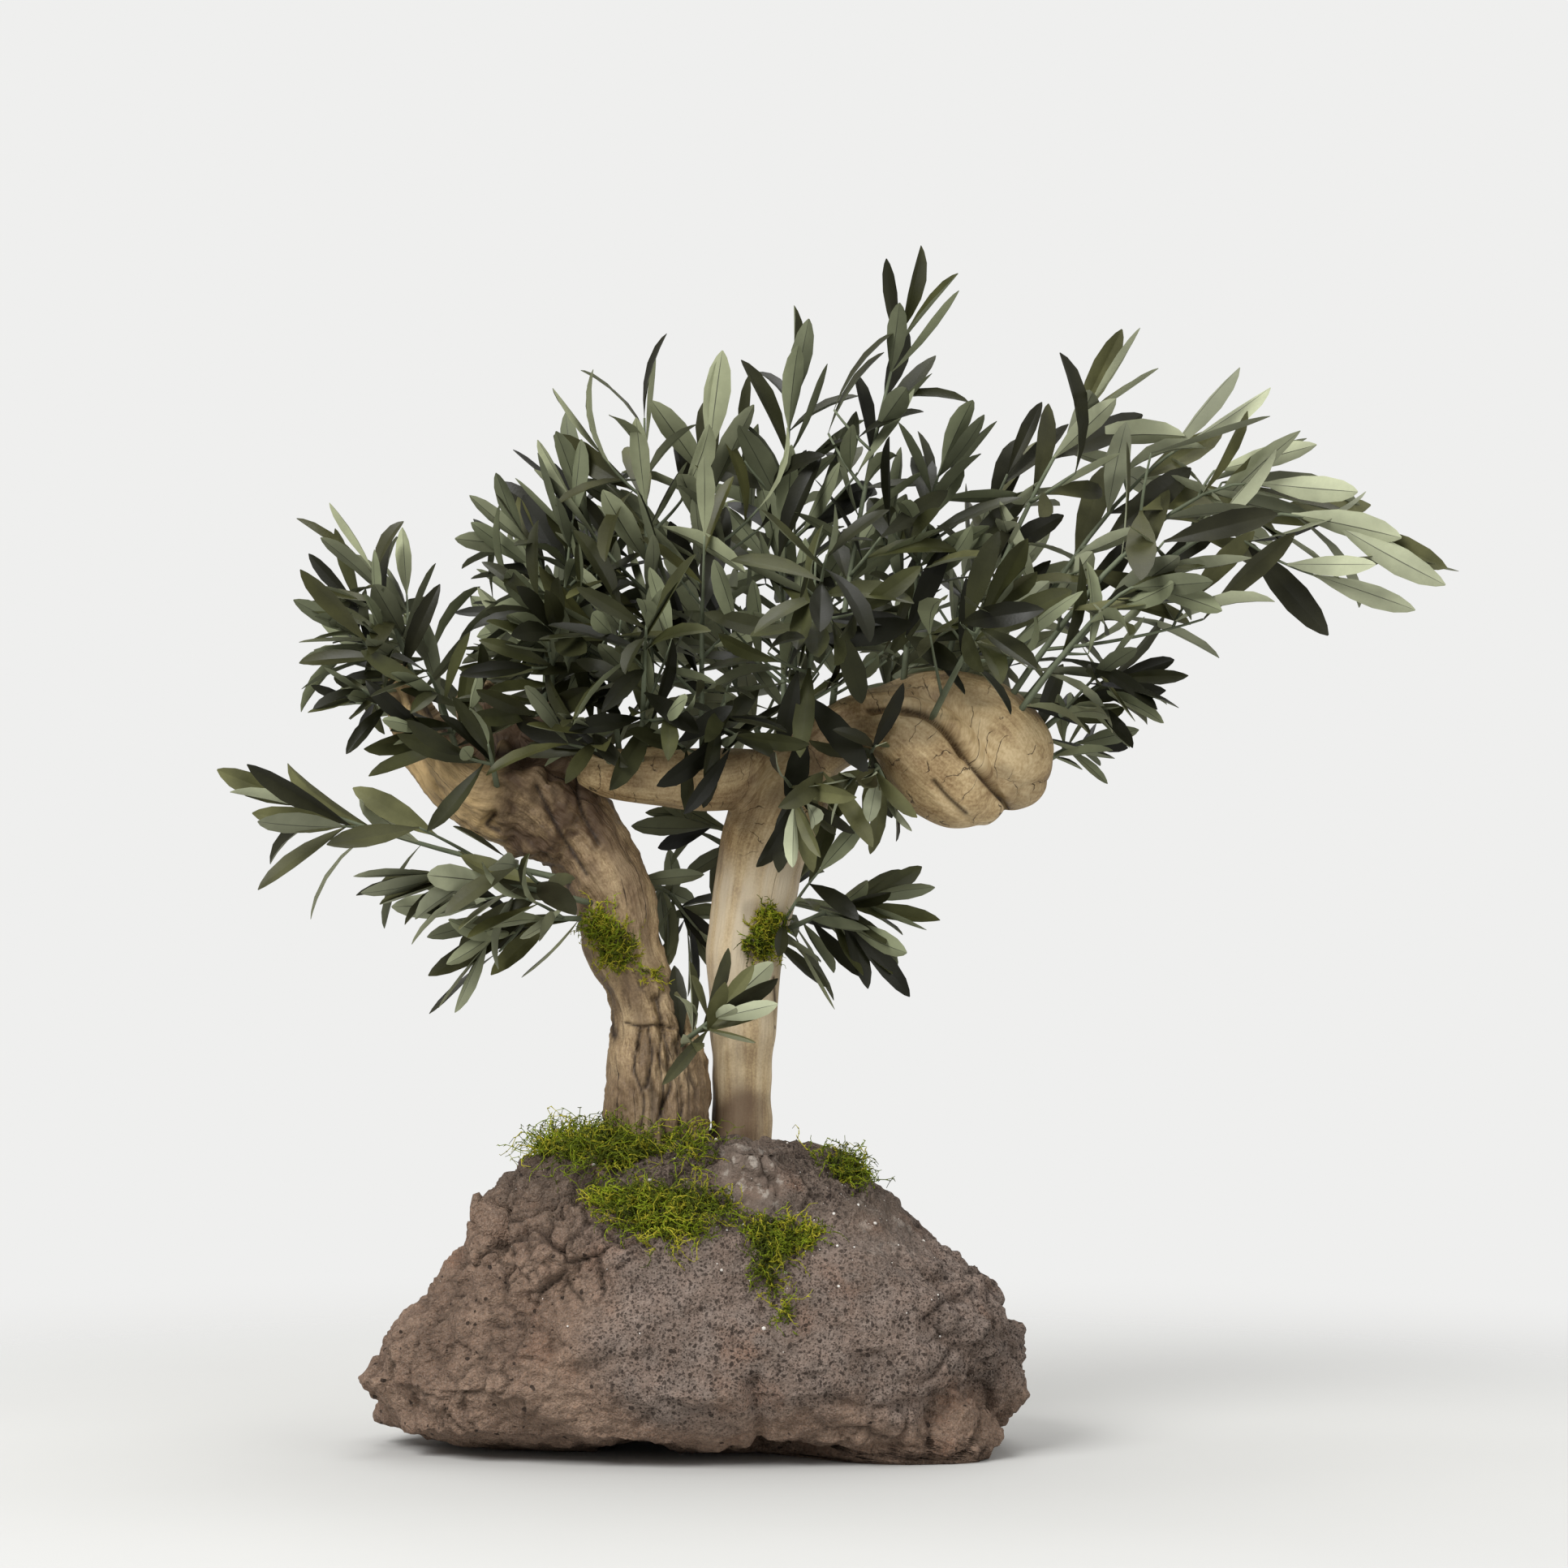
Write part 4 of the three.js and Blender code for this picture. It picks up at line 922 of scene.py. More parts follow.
def stone_relief(points):
    """How far the stone's surface stands out, and how much painted shade it takes in a crack: blocks with
    cracks between them where it is craggy, broken noise in three sizes all over, pits in two sizes, and
    creases."""
    crags = np.full(len(points), LEAST_CRAG)
    for middle, half, share in STONE_CRAGS:
        crags = np.maximum(crags, share * smooth_step(ellipse_distance(points, middle, half), 1.2, 0.6))
    behind = smooth_step(points[:, 1], -30, 30) * smooth_step(rough(points, 60, 2, 90), 0.05, 0.45)
    crags = np.maximum(crags * smooth_step(points[:, 1], 60, 0), LEAST_CRAG + 0.6 * behind)
    bent = points + 7 * np.stack([rough(points, 22, 2, k) for k in (50, 51, 52)], axis=1)
    swell = np.zeros(len(points))
    hollow_shade = np.zeros(len(points))
    for size, seed, height, depth, dark in STONE_BLOCKS:
        tall, cracks = blocks(bent, size, seed)
        swell += crags * (height * tall - depth * cracks)
        # painted shade in the cracks between blocks
        hollow_shade += crags * dark * cracks
    holes = pits(points + 1.2 * noise(points, 9, 3)[:, None], 8, 21)
    edge = 1 + 0.8 * smooth_step(points[:, 0], 90, 140)
    swell += 2.6 * rough(points, 27, 2, 2) + 2.0 * edge * rough(points, 9, 3, 5)
    swell += 1.1 * (0.4 + crags) * rough(points, 4, 2, 6)
    swell -= (1 - crags) * 1.2 * holes + 0.9 * pits(points, 4.5, 27)
    swell -= creased(points, STONE_CREASES, STONE_FRONT)
    return swell, np.clip(hollow_shade, 0, 1)


def build_stone():
    """The stone: its rings, with the relief along their normals, flat where it stands."""
    points, quads, fans = skins(stone_rings()[None])
    normals = vertex_normals(points, quads)
    swell, hollow_shade = stone_relief(points)
    off_ground = smooth_step(points[:, 2], 0.5, 6)
    shown = STONE_FOOT_RELIEF + (1 - STONE_FOOT_RELIEF) * off_ground
    points = points + normals * (swell * shown)[:, None]
    points[:, 2] = np.maximum(points[:, 2], 0)
    mesh = put_mesh("stone_body", points, quads, fans)
    put_attribute(mesh, "zones", "FLOAT_COLOR", stone_zones(points, hollow_shade))
    look = lava_material()
    put_piece(mesh, [look], ["stone"])
    build_stone_horns(look)
    return points, normals


HORN_POINTS = 24
HORN_SIDES = 40
STONE_HORNS = (
    # (x, y, z, radius) stations from inside the stone to the tip
    ((122, -34, 66, 14), (130, -34, 78, 9), (135, -34, 86, 6), (137, -34, 92, 2.5)),
    ((-104, -26, 112, 14), (-115, -28, 122, 9), (-121, -28, 130, 5), (-123, -28, 135, 2)),
)


def build_stone_horns(look):
    """Crags that stand free of the stone's edge: tapering tubes, broken by noise away from their axes."""
    stations = np.stack([catmull_rom(horn, np.linspace(0, 1, HORN_POINTS)) for horn in STONE_HORNS])
    rings = tubes(stations[:, :, :3], stations[:, :, 3], HORN_SIDES)
    out = unit(rings - stations[:, :, None, :3])
    flat = rings.reshape(-1, 3)
    swell = 2.6 * rough(flat, 9, 3, 60) + 3.0 * ridged(flat, 14, 3, 61) - 1.6
    share = np.clip(stations[:, :, 3] / 7, 0.3, 1)[..., None, None]
    rings = rings + out * share * swell.reshape(*rings.shape[:3], 1)
    points, quads, fans = skins(rings)
    mesh = put_mesh("stone_horns", points, quads, fans)
    put_attribute(mesh, "zones", "FLOAT_COLOR", stone_zones(points, np.zeros(len(points))))
    put_piece(mesh, [look])


def ellipse_mask(points, centre, half, soft):
    """1 inside an ellipse seen from the front, on the front half, fading over a soft share of it."""
    return smooth_step(ellipse_distance(points, centre, half), 1 + soft, 1 - soft) * (points[:, 1] < 10)


# Faces with a colour of their own, and one with painted shade, seen from the front: (x, z) middle and half
# sizes
MORTAR_FACE = ((20, 146), (18, 19))
DUSTY_FACE = ((56, 122), (58, 20))
GRITTY_FACE = ((52, 122), (62, 30))
FORK_FACE = ((30, 356), (64, 26))
SCAR_FACE = ((-86, 330), (26, 36))
# the scoop of the left bough: painted shade inside it
SCOOP_SHADE_FACE = ((-98, 380), (40, 34))


def stone_zones(points, hollow_shade):
    """Colour zones of the stone: grey share, share darker towards the top, white dust share, and share of
    painted shade in its hollows.
    """
    wander = 12 * rough(points, 30, 3, 40)
    grey = smooth_step(points[:, 0] + wander, -75, -35) * smooth_step(points[:, 2] + wander, 18, 42)
    # darker towards the top
    darker_top = smooth_step(points[:, 2] + wander, 112, 142)
    mortar = ellipse_mask(points, *MORTAR_FACE, 0.25) * smooth_step(wander, -9, -3)
    dusty = 0.5 * ellipse_mask(points, *DUSTY_FACE, 0.6) * smooth_step(wander, -4, 6)
    return np.stack([grey, darker_top * (1 - mortar), np.maximum(0.9 * mortar, dusty), hollow_shade], axis=1)


# Limbs
LIMB_POINTS = 60
LIMB_SIDES = 40
GRAIN_POINTS = 160  # along a limb, where the grain is measured
GRAIN_BLEND = 4  # distance over which the grain of one limb passes into another's
CAP_REACH = 0.55  # of a limb's rounded end over its radius
CAP_SHARES = (0.5, 0.8, 0.95)


def limb_spine(limb, count):
    """Axis points, radii, and the directions along, back and aside at even shares of a limb."""
    spine = catmull_rom(limb["axis"], np.linspace(0, 1, count))
    along = unit(np.gradient(spine[:, :3], axis=0))
    back = unit(BACK - along * along[:, 1:2])
    return spine[:, :3], spine[:, 3], along, back, np.cross(along, back)


def limb_rings(limb):
    """Rings of a tapering limb: circles of the axis's radius, deepened towards the viewer and less the
    groove, with the free end rounded off over half its radius."""
    centre, radius, along, back, aside = limb_spine(limb, LIMB_POINTS)
    angle = np.linspace(np.pi, -np.pi, LIMB_SIDES, endpoint=False)
    size = np.repeat(radius[:, None], LIMB_SIDES, axis=1)
    if "groove" in limb:
        depth, at, width, start, end = limb["groove"]
        share = np.linspace(0, 1, LIMB_POINTS)
        stretch = np.sin(np.pi * np.clip((share - start) / (end - start), 0, 1))
        size = size * (1 - depth * stretch[:, None] * bell(angle - at, width))
    circle = back[:, None] * (-np.cos(angle) * limb["depth"])[:, None]
    circle = circle + aside[:, None] * np.sin(angle)[:, None]
    rings = centre[:, None] + circle * size[..., None]
    cap = np.array(CAP_SHARES)
    ends = centre[-1] + CAP_REACH * radius[-1] * cap[:, None] * along[-1]
    shrink = np.sqrt(1 - cap**2)
    caps = ends[:, None] + circle[-1] * (size[-1] * shrink[:, None])[..., None]
    return np.concatenate([rings, caps])


def fused_skin(limbs, voxel, relax):
    """One skin round several limbs: their closed surfaces made one by voxels and then relaxed."""
    parts = [skins(limb_rings(limb)[None]) for limb in limbs]
    rough_piece = put_object("limbs", put_mesh("limbs", *joined(parts)))
    one_skin = rough_piece.modifiers.new("one_skin", "REMESH")
    one_skin.mode = "VOXEL"
    one_skin.voxel_size = voxel * MM
    relaxed = rough_piece.modifiers.new("relax", "SMOOTH")
    relaxed.factor = 0.5
    relaxed.iterations = relax
    finished = rough_piece.evaluated_get(bpy.context.evaluated_depsgraph_get()).to_mesh()
    flat = np.empty(3 * len(finished.vertices), np.float32)
    finished.vertices.foreach_get("co", flat)
    corners = np.empty(len(finished.loops), np.int32)
    finished.loops.foreach_get("vertex_index", corners)
    bpy.data.objects.remove(rough_piece)
    return flat.reshape(-1, 3).astype(float) / MM, corners.reshape(-1, 4)


def straightened(points, limbs):
    """Place of points along the grain: aside, behind and along each limb, blended by how near its bark is. A
    limb's length counts on from where it leaves the limbs before it."""
    grain = np.zeros_like(points)
    total = np.zeros((len(points), 1))
    axes, lengths = np.empty((0, 3)), np.empty(0)
    for limb in limbs:
        centre, radius, along, back, aside = limb_spine(limb, GRAIN_POINTS)
        path = np.concatenate([[0], np.cumsum(np.linalg.norm(np.diff(centre, axis=0), axis=1))])
        if len(axes):
            path += lengths[np.linalg.norm(axes - centre[0], axis=1).argmin()]
        axes, lengths = np.vstack([axes, centre]), np.concatenate([lengths, path])
        gaps = ((points[:, None].astype(np.float32) - centre[None].astype(np.float32)) ** 2).sum(axis=2)
        near = gaps.argmin(axis=1)
        off = points - centre[near]
        onward = path[near] + (off * along[near]).sum(axis=1)
        place = np.stack([(off * aside[near]).sum(axis=1), (off * back[near]).sum(axis=1), onward], axis=1)
        weight = np.exp((radius[near] - np.linalg.norm(off, axis=1)) / GRAIN_BLEND)[:, None]
        grain += weight * place
        total += weight
    return grain / total


WOOD_FRONT = 2  # creases lie before this level of Y
CREASE_SHADE_WIDTH = 0.6  # width of the painted shade line in a crease over the crease's own
# darkness of the painted shade in a crease
CREASE_SHADE_DARKNESS = 0.95
BARE_CREASES = (
    # (x, z) stations, width, depth
    (((80, 385), (93, 386), (105, 384), (119, 375), (130, 360), (141, 347), (154, 334)), 1.7, 6),
    (((98, 385), (110, 382), (121, 372), (128, 362)), 3.0, 5),
    (((114, 349), (119, 343), (124, 338), (131, 332)), 1.5, 1.8),
    (((31, 246), (32, 222), (30, 196), (29, 182)), 1.1, 1.2),
)
BARK_CREASES = (
    (((-30, 236), (-25, 214), (-22, 192), (-27, 178), (-24, 162)), 1.6, 3.5),
    (((-38, 220), (-41, 200), (-36, 184), (-38, 166)), 1.2, 2),
    (((-20, 244), (-17, 226), (-14, 206)), 1.4, 2.5),
    (((-66, 300), (-80, 322), (-92, 346)), 1.8, 2.0),
    (((-60, 316), (-70, 336), (-72, 356)), 1.6, 2.5),
    (((-114, 331), (-118, 326), (-112, 323)), 2.2, 5),
    (((-156, 394), (-143, 377), (-125, 366), (-107, 362), (-96, 366)), 8, 12),
    (((-46, 223), (-38, 221), (-30, 222), (-21, 220)), 1.2, 3),
    (((-34, 220), (-32, 205), (-35, 190)), 0.9, 2.2),
    (((-27, 219), (-28, 203), (-26, 188), (-29, 172)), 0.9, 2.2),
    (((-18, 218), (-19, 200), (-16, 184), (-18, 170)), 1.0, 2.2),
    (((-56, 238), (-54, 226), (-52, 216)), 3, 2.5),
)


def wood_zones(points, creases, stain_and_shade, pale, hollow_shade):
    """Colour zones of wood: share of stain and painted shade, share of painted shade in a crease, pale share,
    and share of painted shade in a hollow.
    """
    inside = np.zeros(len(points))
    for path, width, _ in creases:
        # painted shade along the middle of each crease, on the front
        line = bell(near_path(points, path), CREASE_SHADE_WIDTH * width)
        inside = np.maximum(inside, (points[:, 1] < WOOD_FRONT) * line)
    return np.stack([stain_and_shade, CREASE_SHADE_DARKNESS * inside, pale, hollow_shade], axis=1)


def put_wood(mesh, grain, zones, look, nodes):
    """A piece of wood with its place along the grain and its colour zones."""
    put_attribute(mesh, "grain", "FLOAT_VECTOR", grain * MM)
    put_attribute(mesh, "zones", "FLOAT_COLOR", zones)
    put_piece(mesh, [look], nodes)


KNOB_MIDDLE = (139, -2, 356)
KNOB_SWELL = 4.5
KNOB_REACH = (70, 40)  # from its middle: where the swelling begins, and where it is full
# Wood: size of the voxels that make its limbs one skin, and how often that skin is relaxed
BARE_SKIN = (0.95, 12)
BARK_SKIN = (1.05, 6)
BARE_LOOK = {
    "shades": ((0.2, colour(138, 111, 75)), (0.5, colour(184, 159, 117)), (0.78, colour(210, 188, 147))),
    "bleached": colour(204, 191, 168),
    "stain_and_shade_tone": colour(100, 79, 61),
    "crack_shade": colour(62, 46, 30),
    "checks": (105, 0.03, 0.52),
    "splits": (12, 0.014, 0.46),
    "fibre_height": 0.25,
    "drawn_out": 0.07,
}
BARK_LOOK = {
    "shades": ((0.2, colour(106, 86, 62)), (0.5, colour(155, 131, 98)), (0.8, colour(192, 168, 131))),
    "bleached": colour(222, 190, 136),
    # tone of the stains and of the painted shade inside the scoop
    "stain_and_shade_tone": colour(94, 74, 55),
    "crack_shade": colour(46, 35, 26),
    "checks": (60, 0.03, 0.2),
    "splits": (16, 0.03, 0.45),
    "fibre_height": 0.7,
    "drawn_out": 0.2,
}


def build_bare_wood():
    """The right stem with its stub and its knobbed bough: smooth pale wood, uneven by broken noise and by
    noise along the grain, swollen at the knob and creased."""
    points, quads = fused_skin(BARE_LIMBS, *BARE_SKIN)
    normals = vertex_normals(points, quads)
    grain = straightened(points, BARE_LIMBS)
    lumps = rough(points, 22, 2, 30)
    swell = 1.1 * lumps + 0.5 * noise(grain, (14, 14, 70), 3) + 0.25 * noise(grain, (4, 4, 30), 4)
    from_knob = np.linalg.norm(points - KNOB_MIDDLE, axis=1)
    swell += KNOB_SWELL * smooth_step(from_knob, *KNOB_REACH) - creased(points, BARE_CREASES, WOOD_FRONT)
    points = points + normals * swell[:, None]
    wander = 10 * rough(points, 16, 2, 8)
    foot = smooth_step(points[:, 2] + wander, 196, 178) * smooth_step(points[:, 0] + 0.5 * wander, 30, 14)
    fork = ellipse_mask(points, *FORK_FACE, 0.5) * smooth_step(wander, -6, 4)
    pale = smooth_step(points[:, 2] + wander, 328, 292)
    pale *= 0.45 + 0.55 * smooth_step(points[:, 2] + wander, 190, 262)
    # painted shade in the dips between lumps
    hollow_shade = 0.5 * smooth_step(lumps, -0.25, -0.7)
    zones = wood_zones(points, BARE_CREASES, np.maximum(0.85 * foot, 0.5 * fork), pale, hollow_shade)
    mesh = put_mesh("wood_bare", points, quads)
    look = wood_material("bare_wood", **BARE_LOOK)
    put_wood(mesh, grain, zones, look, ["stem_right", "stub_left", "bough_right"])
    return points, normals


def build_bark_wood():
    """The left stem with its scooped bough: split bark in plates at the foot, and above it furrowed wood with
    a knobbly scar, torn open by fissures along the grain and creased."""
    points, quads = fused_skin(BARK_LIMBS, *BARK_SKIN)
    normals = vertex_normals(points, quads)
    grain = straightened(points, BARK_LIMBS)
    foot = smooth_step(points[:, 2] + 10 * noise(points, 20, 1), 245, 225)
    bent = grain + np.array([3, 3, 12]) * np.stack([noise(grain, (8, 8, 24), k) for k in (2, 3, 4)], axis=1)
    plates, joints = blocks(bent, (13, 13, 75), 5)
    furrows = ridged(bent, (5, 5, 60), 2, 6) - 0.6
    fissures = smooth_step(ridged(bent, (8, 8, 50), 2, 7), 0.82, 0.97)
    torn = smooth_step(noise(points, 26, 17), -0.35, 0.25)
    crumbs = rough(points, 7, 3, 16) - 0.9 * pits(points, 9, 33)
    bark = 1.3 * plates - 0.8 * joints - 1.8 * torn * fissures + 0.5 * furrows + 1.1 * crumbs
    scar = ellipse_mask(points, *SCAR_FACE, 0.5)
    above = 0.6 * furrows + (0.9 + 1.4 * scar) * crumbs - 1.4 * torn * fissures
    above += 3 * scar * rough(points, 15, 2, 18)
    detail = foot * bark + (1 - foot) * above
    swell = detail + 1.6 * rough(grain, (20, 20, 28), 2, 9) - creased(points, BARK_CREASES, WOOD_FRONT)
    points = points + normals * swell[:, None]
    wander = 9 * rough(points, 16, 2, 12)
    earthy = smooth_step(points[:, 2] + wander, 215, 180)
    streaks = smooth_step(noise(grain, (10, 10, 60), 15), 0.0, 0.5)
    # painted shade inside the scoop of the left bough, on its front
    scoop_shade = ellipse_mask(points, *SCOOP_SHADE_FACE, 0.35) * smooth_step(points[:, 1], -14, -4)
    dark = scar * smooth_step(rough(points, 12, 3, 19), -0.35, 0.3)
    # stains along the grain, darker at the foot and on the scar, and the painted shade of the scoop
    stain_and_shade = np.clip(0.6 * np.maximum(earthy, streaks) + 0.9 * np.maximum(scoop_shade, dark), 0, 1)
    pale = smooth_step(points[:, 0] + wander, -104, -122) * smooth_step(points[:, 1], 2, -6)
    # painted shade in the fissures and in the joints between plates
    hollow_shade = np.clip((0.5 + 0.5 * foot) * torn * fissures + 0.4 * foot * joints, 0, 1)
    zones = wood_zones(points, BARK_CREASES, stain_and_shade * (1 - pale), pale, hollow_shade)
    mesh = put_mesh("wood_bark", points, quads)
    look = wood_material("bark_wood", **BARK_LOOK)
    put_wood(mesh, grain, zones, look, ["stem_left", "bough_left"])
    return points, normals


# Sprays
def branch_off(along, opening, turn):
    """Directions that leave `along` by an opening angle, turned round it by an angle: the cosine of the
    opening along it and the sine across it."""
    level = np.cross(along, UP)
    steep = np.linalg.norm(level, axis=-1, keepdims=True) < 0.05
    level = unit(np.where(steep, np.array([1.0, 0.0, 0.0]), level))
    rise = np.cross(level, along)
    opening, turn = np.asarray(opening)[..., None], np.asarray(turn)[..., None]
    return unit(np.cos(opening) * along + np.sin(opening) * (np.cos(turn) * level + np.sin(turn) * rise))


def path_length(points):
    """Length of a line of points."""
    return np.linalg.norm(np.diff(points, axis=0), axis=1).sum()


def side_twig(parent, share, opening, turn, reach):
    """A twig that leaves its parent at a share of it and bows a little towards the parent's tip."""
    base = bezier(parent, share)
    along = bezier_along(parent, share)
    out = branch_off(along, opening, turn)
    middle = base + TWIG_BEND_AT * reach * unit(out - TWIG_BOW * along)
    return np.array([base, middle, base + reach * out])


def spray_twigs(root, bend, tip, side_count, leaf_length, seed):
    """Twigs of a spray as (curve, length, radius, tip of its last leaf, seed): the stem, its side twigs
    turned by the golden angle, and the finer twigs on all of these."""
    root, bend, tip = np.array(root, float), np.array(bend, float), np.array(tip, float)
    end = tip - TIP_LEAF_SHARE * leaf_length * unit(tip - bend)
    stem = np.array([root, bend, end])
    length = path_length(bezier(stem, np.linspace(0, 1, LENGTH_POINTS))) + TIP_LEAF_SHARE * leaf_length
    twigs = [(stem, length, STEM_RADIUS, tip, seed)]
    for k in range(side_count):
        share = FIRST_TWIG_AT + TWIG_STRETCH * (k + 0.4 * chance(seed, 10 + k)) / side_count
        turn = GOLDEN_ANGLE * k + 2 * np.pi * chance(seed, 2)
        opening = SIDE_TWIG_OPEN * varied(0.3, seed, 20 + k)
        reach = (1 - share) * length * SIDE_TWIG_SHARE * varied(0.4, seed, 30 + k)
        curve = side_twig(stem, share, opening, turn, reach)
        twigs.append((curve, reach, TWIG_RADIUS, None, seed + 50 * (k + 1)))
    for curve, reach, _, _, own in list(twigs):
        fine_count = int(reach / FINE_TWIG_PITCH)
        for k in range(fine_count):
            share = FIRST_FINE_TWIG_AT + FINE_TWIG_STRETCH * (k + chance(own, 60 + k)) / fine_count
            turn = GOLDEN_ANGLE * (k + 0.5) + 2 * np.pi * chance(own, 61)
            length = (1 - share) * reach * drawn(*FINE_TWIG_SHARES, own, 70 + k)
            length = min(FINE_TWIG_LONGEST, length)
            fine = side_twig(curve, share, FINE_TWIG_OPEN, turn, length)
            twigs.append((fine, length, FINE_TWIG_RADIUS, None, own + 1000 + 37 * k))
    return twigs


def twig_leaves(twig, leaf_length, bare, hang):
    """Leaves of a twig as (root, twig's direction, leaf's direction, length, draw, share of the twig): one at
    the tip, and opposite pairs, each a quarter turn on from the last, that turn outwards or hang down."""
    curve, length, _, tip, seed = twig
    end, onward = curve[2], bezier_along(curve, 1.0)
    tip = end + TIP_LEAF_SHARE * leaf_length * onward if tip is None else tip
    tip_along = branch_off(onward, TIP_LEAF_SLANT, 2 * np.pi * chance(seed, 4))
    pitch = leaf_length * (OPEN_PITCH_SHARE if leaf_length > OPEN_LEAF_LENGTH else NODE_PITCH_SHARE)
    pairs = max(2, round((1 - bare) * length / pitch))
    pair, side = (grid.ravel() for grid in np.meshgrid(np.arange(pairs), (0, 1), indexing="ij"))
    share = bare + (1 - bare) * (pair + FIRST_PAIR_AT) / pairs
    draw = 100 + 2 * pair + side
    quarters = 2 * side + pair + 2 * chance(seed, 3)
    turn = np.pi / 2 * quarters + 0.5 * (chance(seed, draw) - 0.5)
    opening = (LEAF_OPEN + (TIP_LEAF_OPEN - LEAF_OPEN) * share) * varied(0.7, seed, 200 + draw)
    along = bezier_along(curve, share)
    root = bezier(curve, share)
    droop = hang or LEAF_DROOP * chance(seed, 500 + draw)[:, None] ** 1.5
    outward = 0 if hang else LEAF_OUTWARD * unit((root - CROWN_HEART) * (1, 1, OUTWARD_RISE))
    stray = np.stack([chance(seed, k + draw) - 0.5 for k in (600, 700, 800)], axis=1)
    out = unit(branch_off(along, opening, turn) + LEAF_STRAY * stray + outward - droop * UP)
    return (
        np.vstack([end, root]),
        np.vstack([tip_along, along]),
        np.vstack([unit(tip - end), out]),
        np.concatenate([[np.linalg.norm(tip - end)], leaf_length * drawn(*LEAF_LENGTHS, seed, 400 + draw)]),
        np.concatenate([[seed], seed + 7 * draw]),
        np.concatenate([[1.0], share]),
    )


def keeps_to_space(ends, stem, tip):
    """Whether leaf ends lie in the spray's space: a lance about its stem that closes at the tip."""
    line = np.vstack([bezier(stem, np.linspace(0, 1, SPACE_STEPS + 1)), tip])
    half_width = min(SPACE_HALF_WIDTH, SPACE_SHARE * path_length(line))
    away = np.linalg.norm(ends[:, None] - line[None], axis=2)
    share = away.argmin(axis=1) / (len(line) - 1)
    beyond = (ends - tip) @ unit(tip - stem[1])
    return (beyond < 0.01) & (away.min(axis=1) < half_width * np.minimum(1, SPACE_TAPER * (1.12 - share)))


def clear_of_limbs(points):
    """Whether points stand clear of every limb's bark, and not before the wood that shows."""
    clear = np.ones(len(points), bool)
    for middle, half in BARE_FACES:
        clear &= (ellipse_distance(points, middle, half) > 1) | (points[:, 1] > 0)
    for limb in BARE_LIMBS + BARK_LIMBS:
        centre, radius, *_ = limb_spine(limb, LIMB_POINTS)
        gaps = np.linalg.norm(points[:, None] - centre[None], axis=2) - radius[None]
        clear &= gaps.min(axis=1) > LIMB_CLEARANCE
    return clear


def leaf_rings(root, along, out, length, draw):
    """Rings of thin leaves: six points round each section, at the edges and on both sides of the midrib. A
    leaf's half width is a power of the share from its foot times a power of the share from its tip, over the
    largest such product. The leaf bends in an arc, twists, and folds along its midrib."""
    v = np.array(LEAF_STATIONS)
    foot_power, tip_power = LEAF_POWERS
    shape = v**foot_power * (1 - v) ** tip_power / LEAF_FULLEST
    shape = np.maximum(shape, np.where(v < 0.5, *LEAF_LEAST))
    across = unit(np.cross(out, along))
    face = np.cross(across, out)
    roll = LEAF_ROLL * (chance(draw, 1) - 0.5)[:, None]
    across, face = np.cos(roll) * across + np.sin(roll) * face, np.cos(roll) * face - np.sin(roll) * across
    arc = drawn(*LEAF_ARC, draw, 2)
    arc = np.where(np.abs(arc) < STRAIGHTEST_ARC, STRAIGHTEST_ARC, arc)[:, None]
    twist = LEAF_TWIST * (chance(draw, 3) - 0.5)[:, None]
    fold = drawn(*LEAF_FOLD, draw, 4)[:, None]
    width = length * LEAF_WIDTH_SHARE * varied(0.3, draw, 5)

    def spread(share, vectors):
        return share[..., None] * vectors[:, None]

    swing = arc * v
    middle = root[:, None] + (length[:, None] / arc)[..., None] * (
        spread(np.sin(swing), out) - spread(1 - np.cos(swing), face)
    )
    upright = spread(np.sin(swing), out) + spread(np.cos(swing), face)
    turn = twist * v
    sideways = spread(np.cos(turn), across) + np.sin(turn)[..., None] * upright
    upright = np.cos(turn)[..., None] * upright - spread(np.sin(turn), across)
    half = width[:, None] / 2 * shape
    thick = LEAF_THICKNESS / 2 * np.minimum(1, LEAF_END_THICKNESS + shape)
    u = np.array([-1, -LEAF_RIB, LEAF_RIB, 1, LEAF_RIB, -LEAF_RIB])
    side = np.array([0, 1, 1, 0, -1, -1])
    sway = half[..., None] * u * np.cos(fold)[..., None]
    lift = half[..., None] * np.abs(u) * np.sin(fold)[..., None] + thick[:, None] * side
    return middle[:, :, None] + sway[..., None] * sideways[:, :, None] + lift[..., None] * upright[:, :, None]


LEAF_TINTS = (
    # upper side and underside
    ((45, 46, 26), (124, 129, 101)),
    ((54, 54, 31), (138, 142, 113)),
    ((38, 39, 22), (110, 115, 89)),
    ((70, 70, 46), (160, 164, 136)),
)
# Sprays in the last tint
PALE_SPRAYS = (
    "low_left", "low_left_mid", "knob_long", "knob_far", "knob_high", "knob_reach", "knob_mid", "crotch",
    "under_hang", "fork_hang",
)
LEAF_SHADES = (0.6, 1.0, 1.35)
# Sides of a leaf: how far its patches depart from its tint, and its roughness from patch to patch
LEAF_SIDES = {"upper": (0.16, 0.36, 0.5), "under": (0.08, 0.56, 0.7)}
RIB_DARKNESS = 0.52  # of the underside's tint
LEAF_GLOSS = 0.2
LEAF_SHARP = 1.2  # edges of a leaf sharper than this angle stay sharp


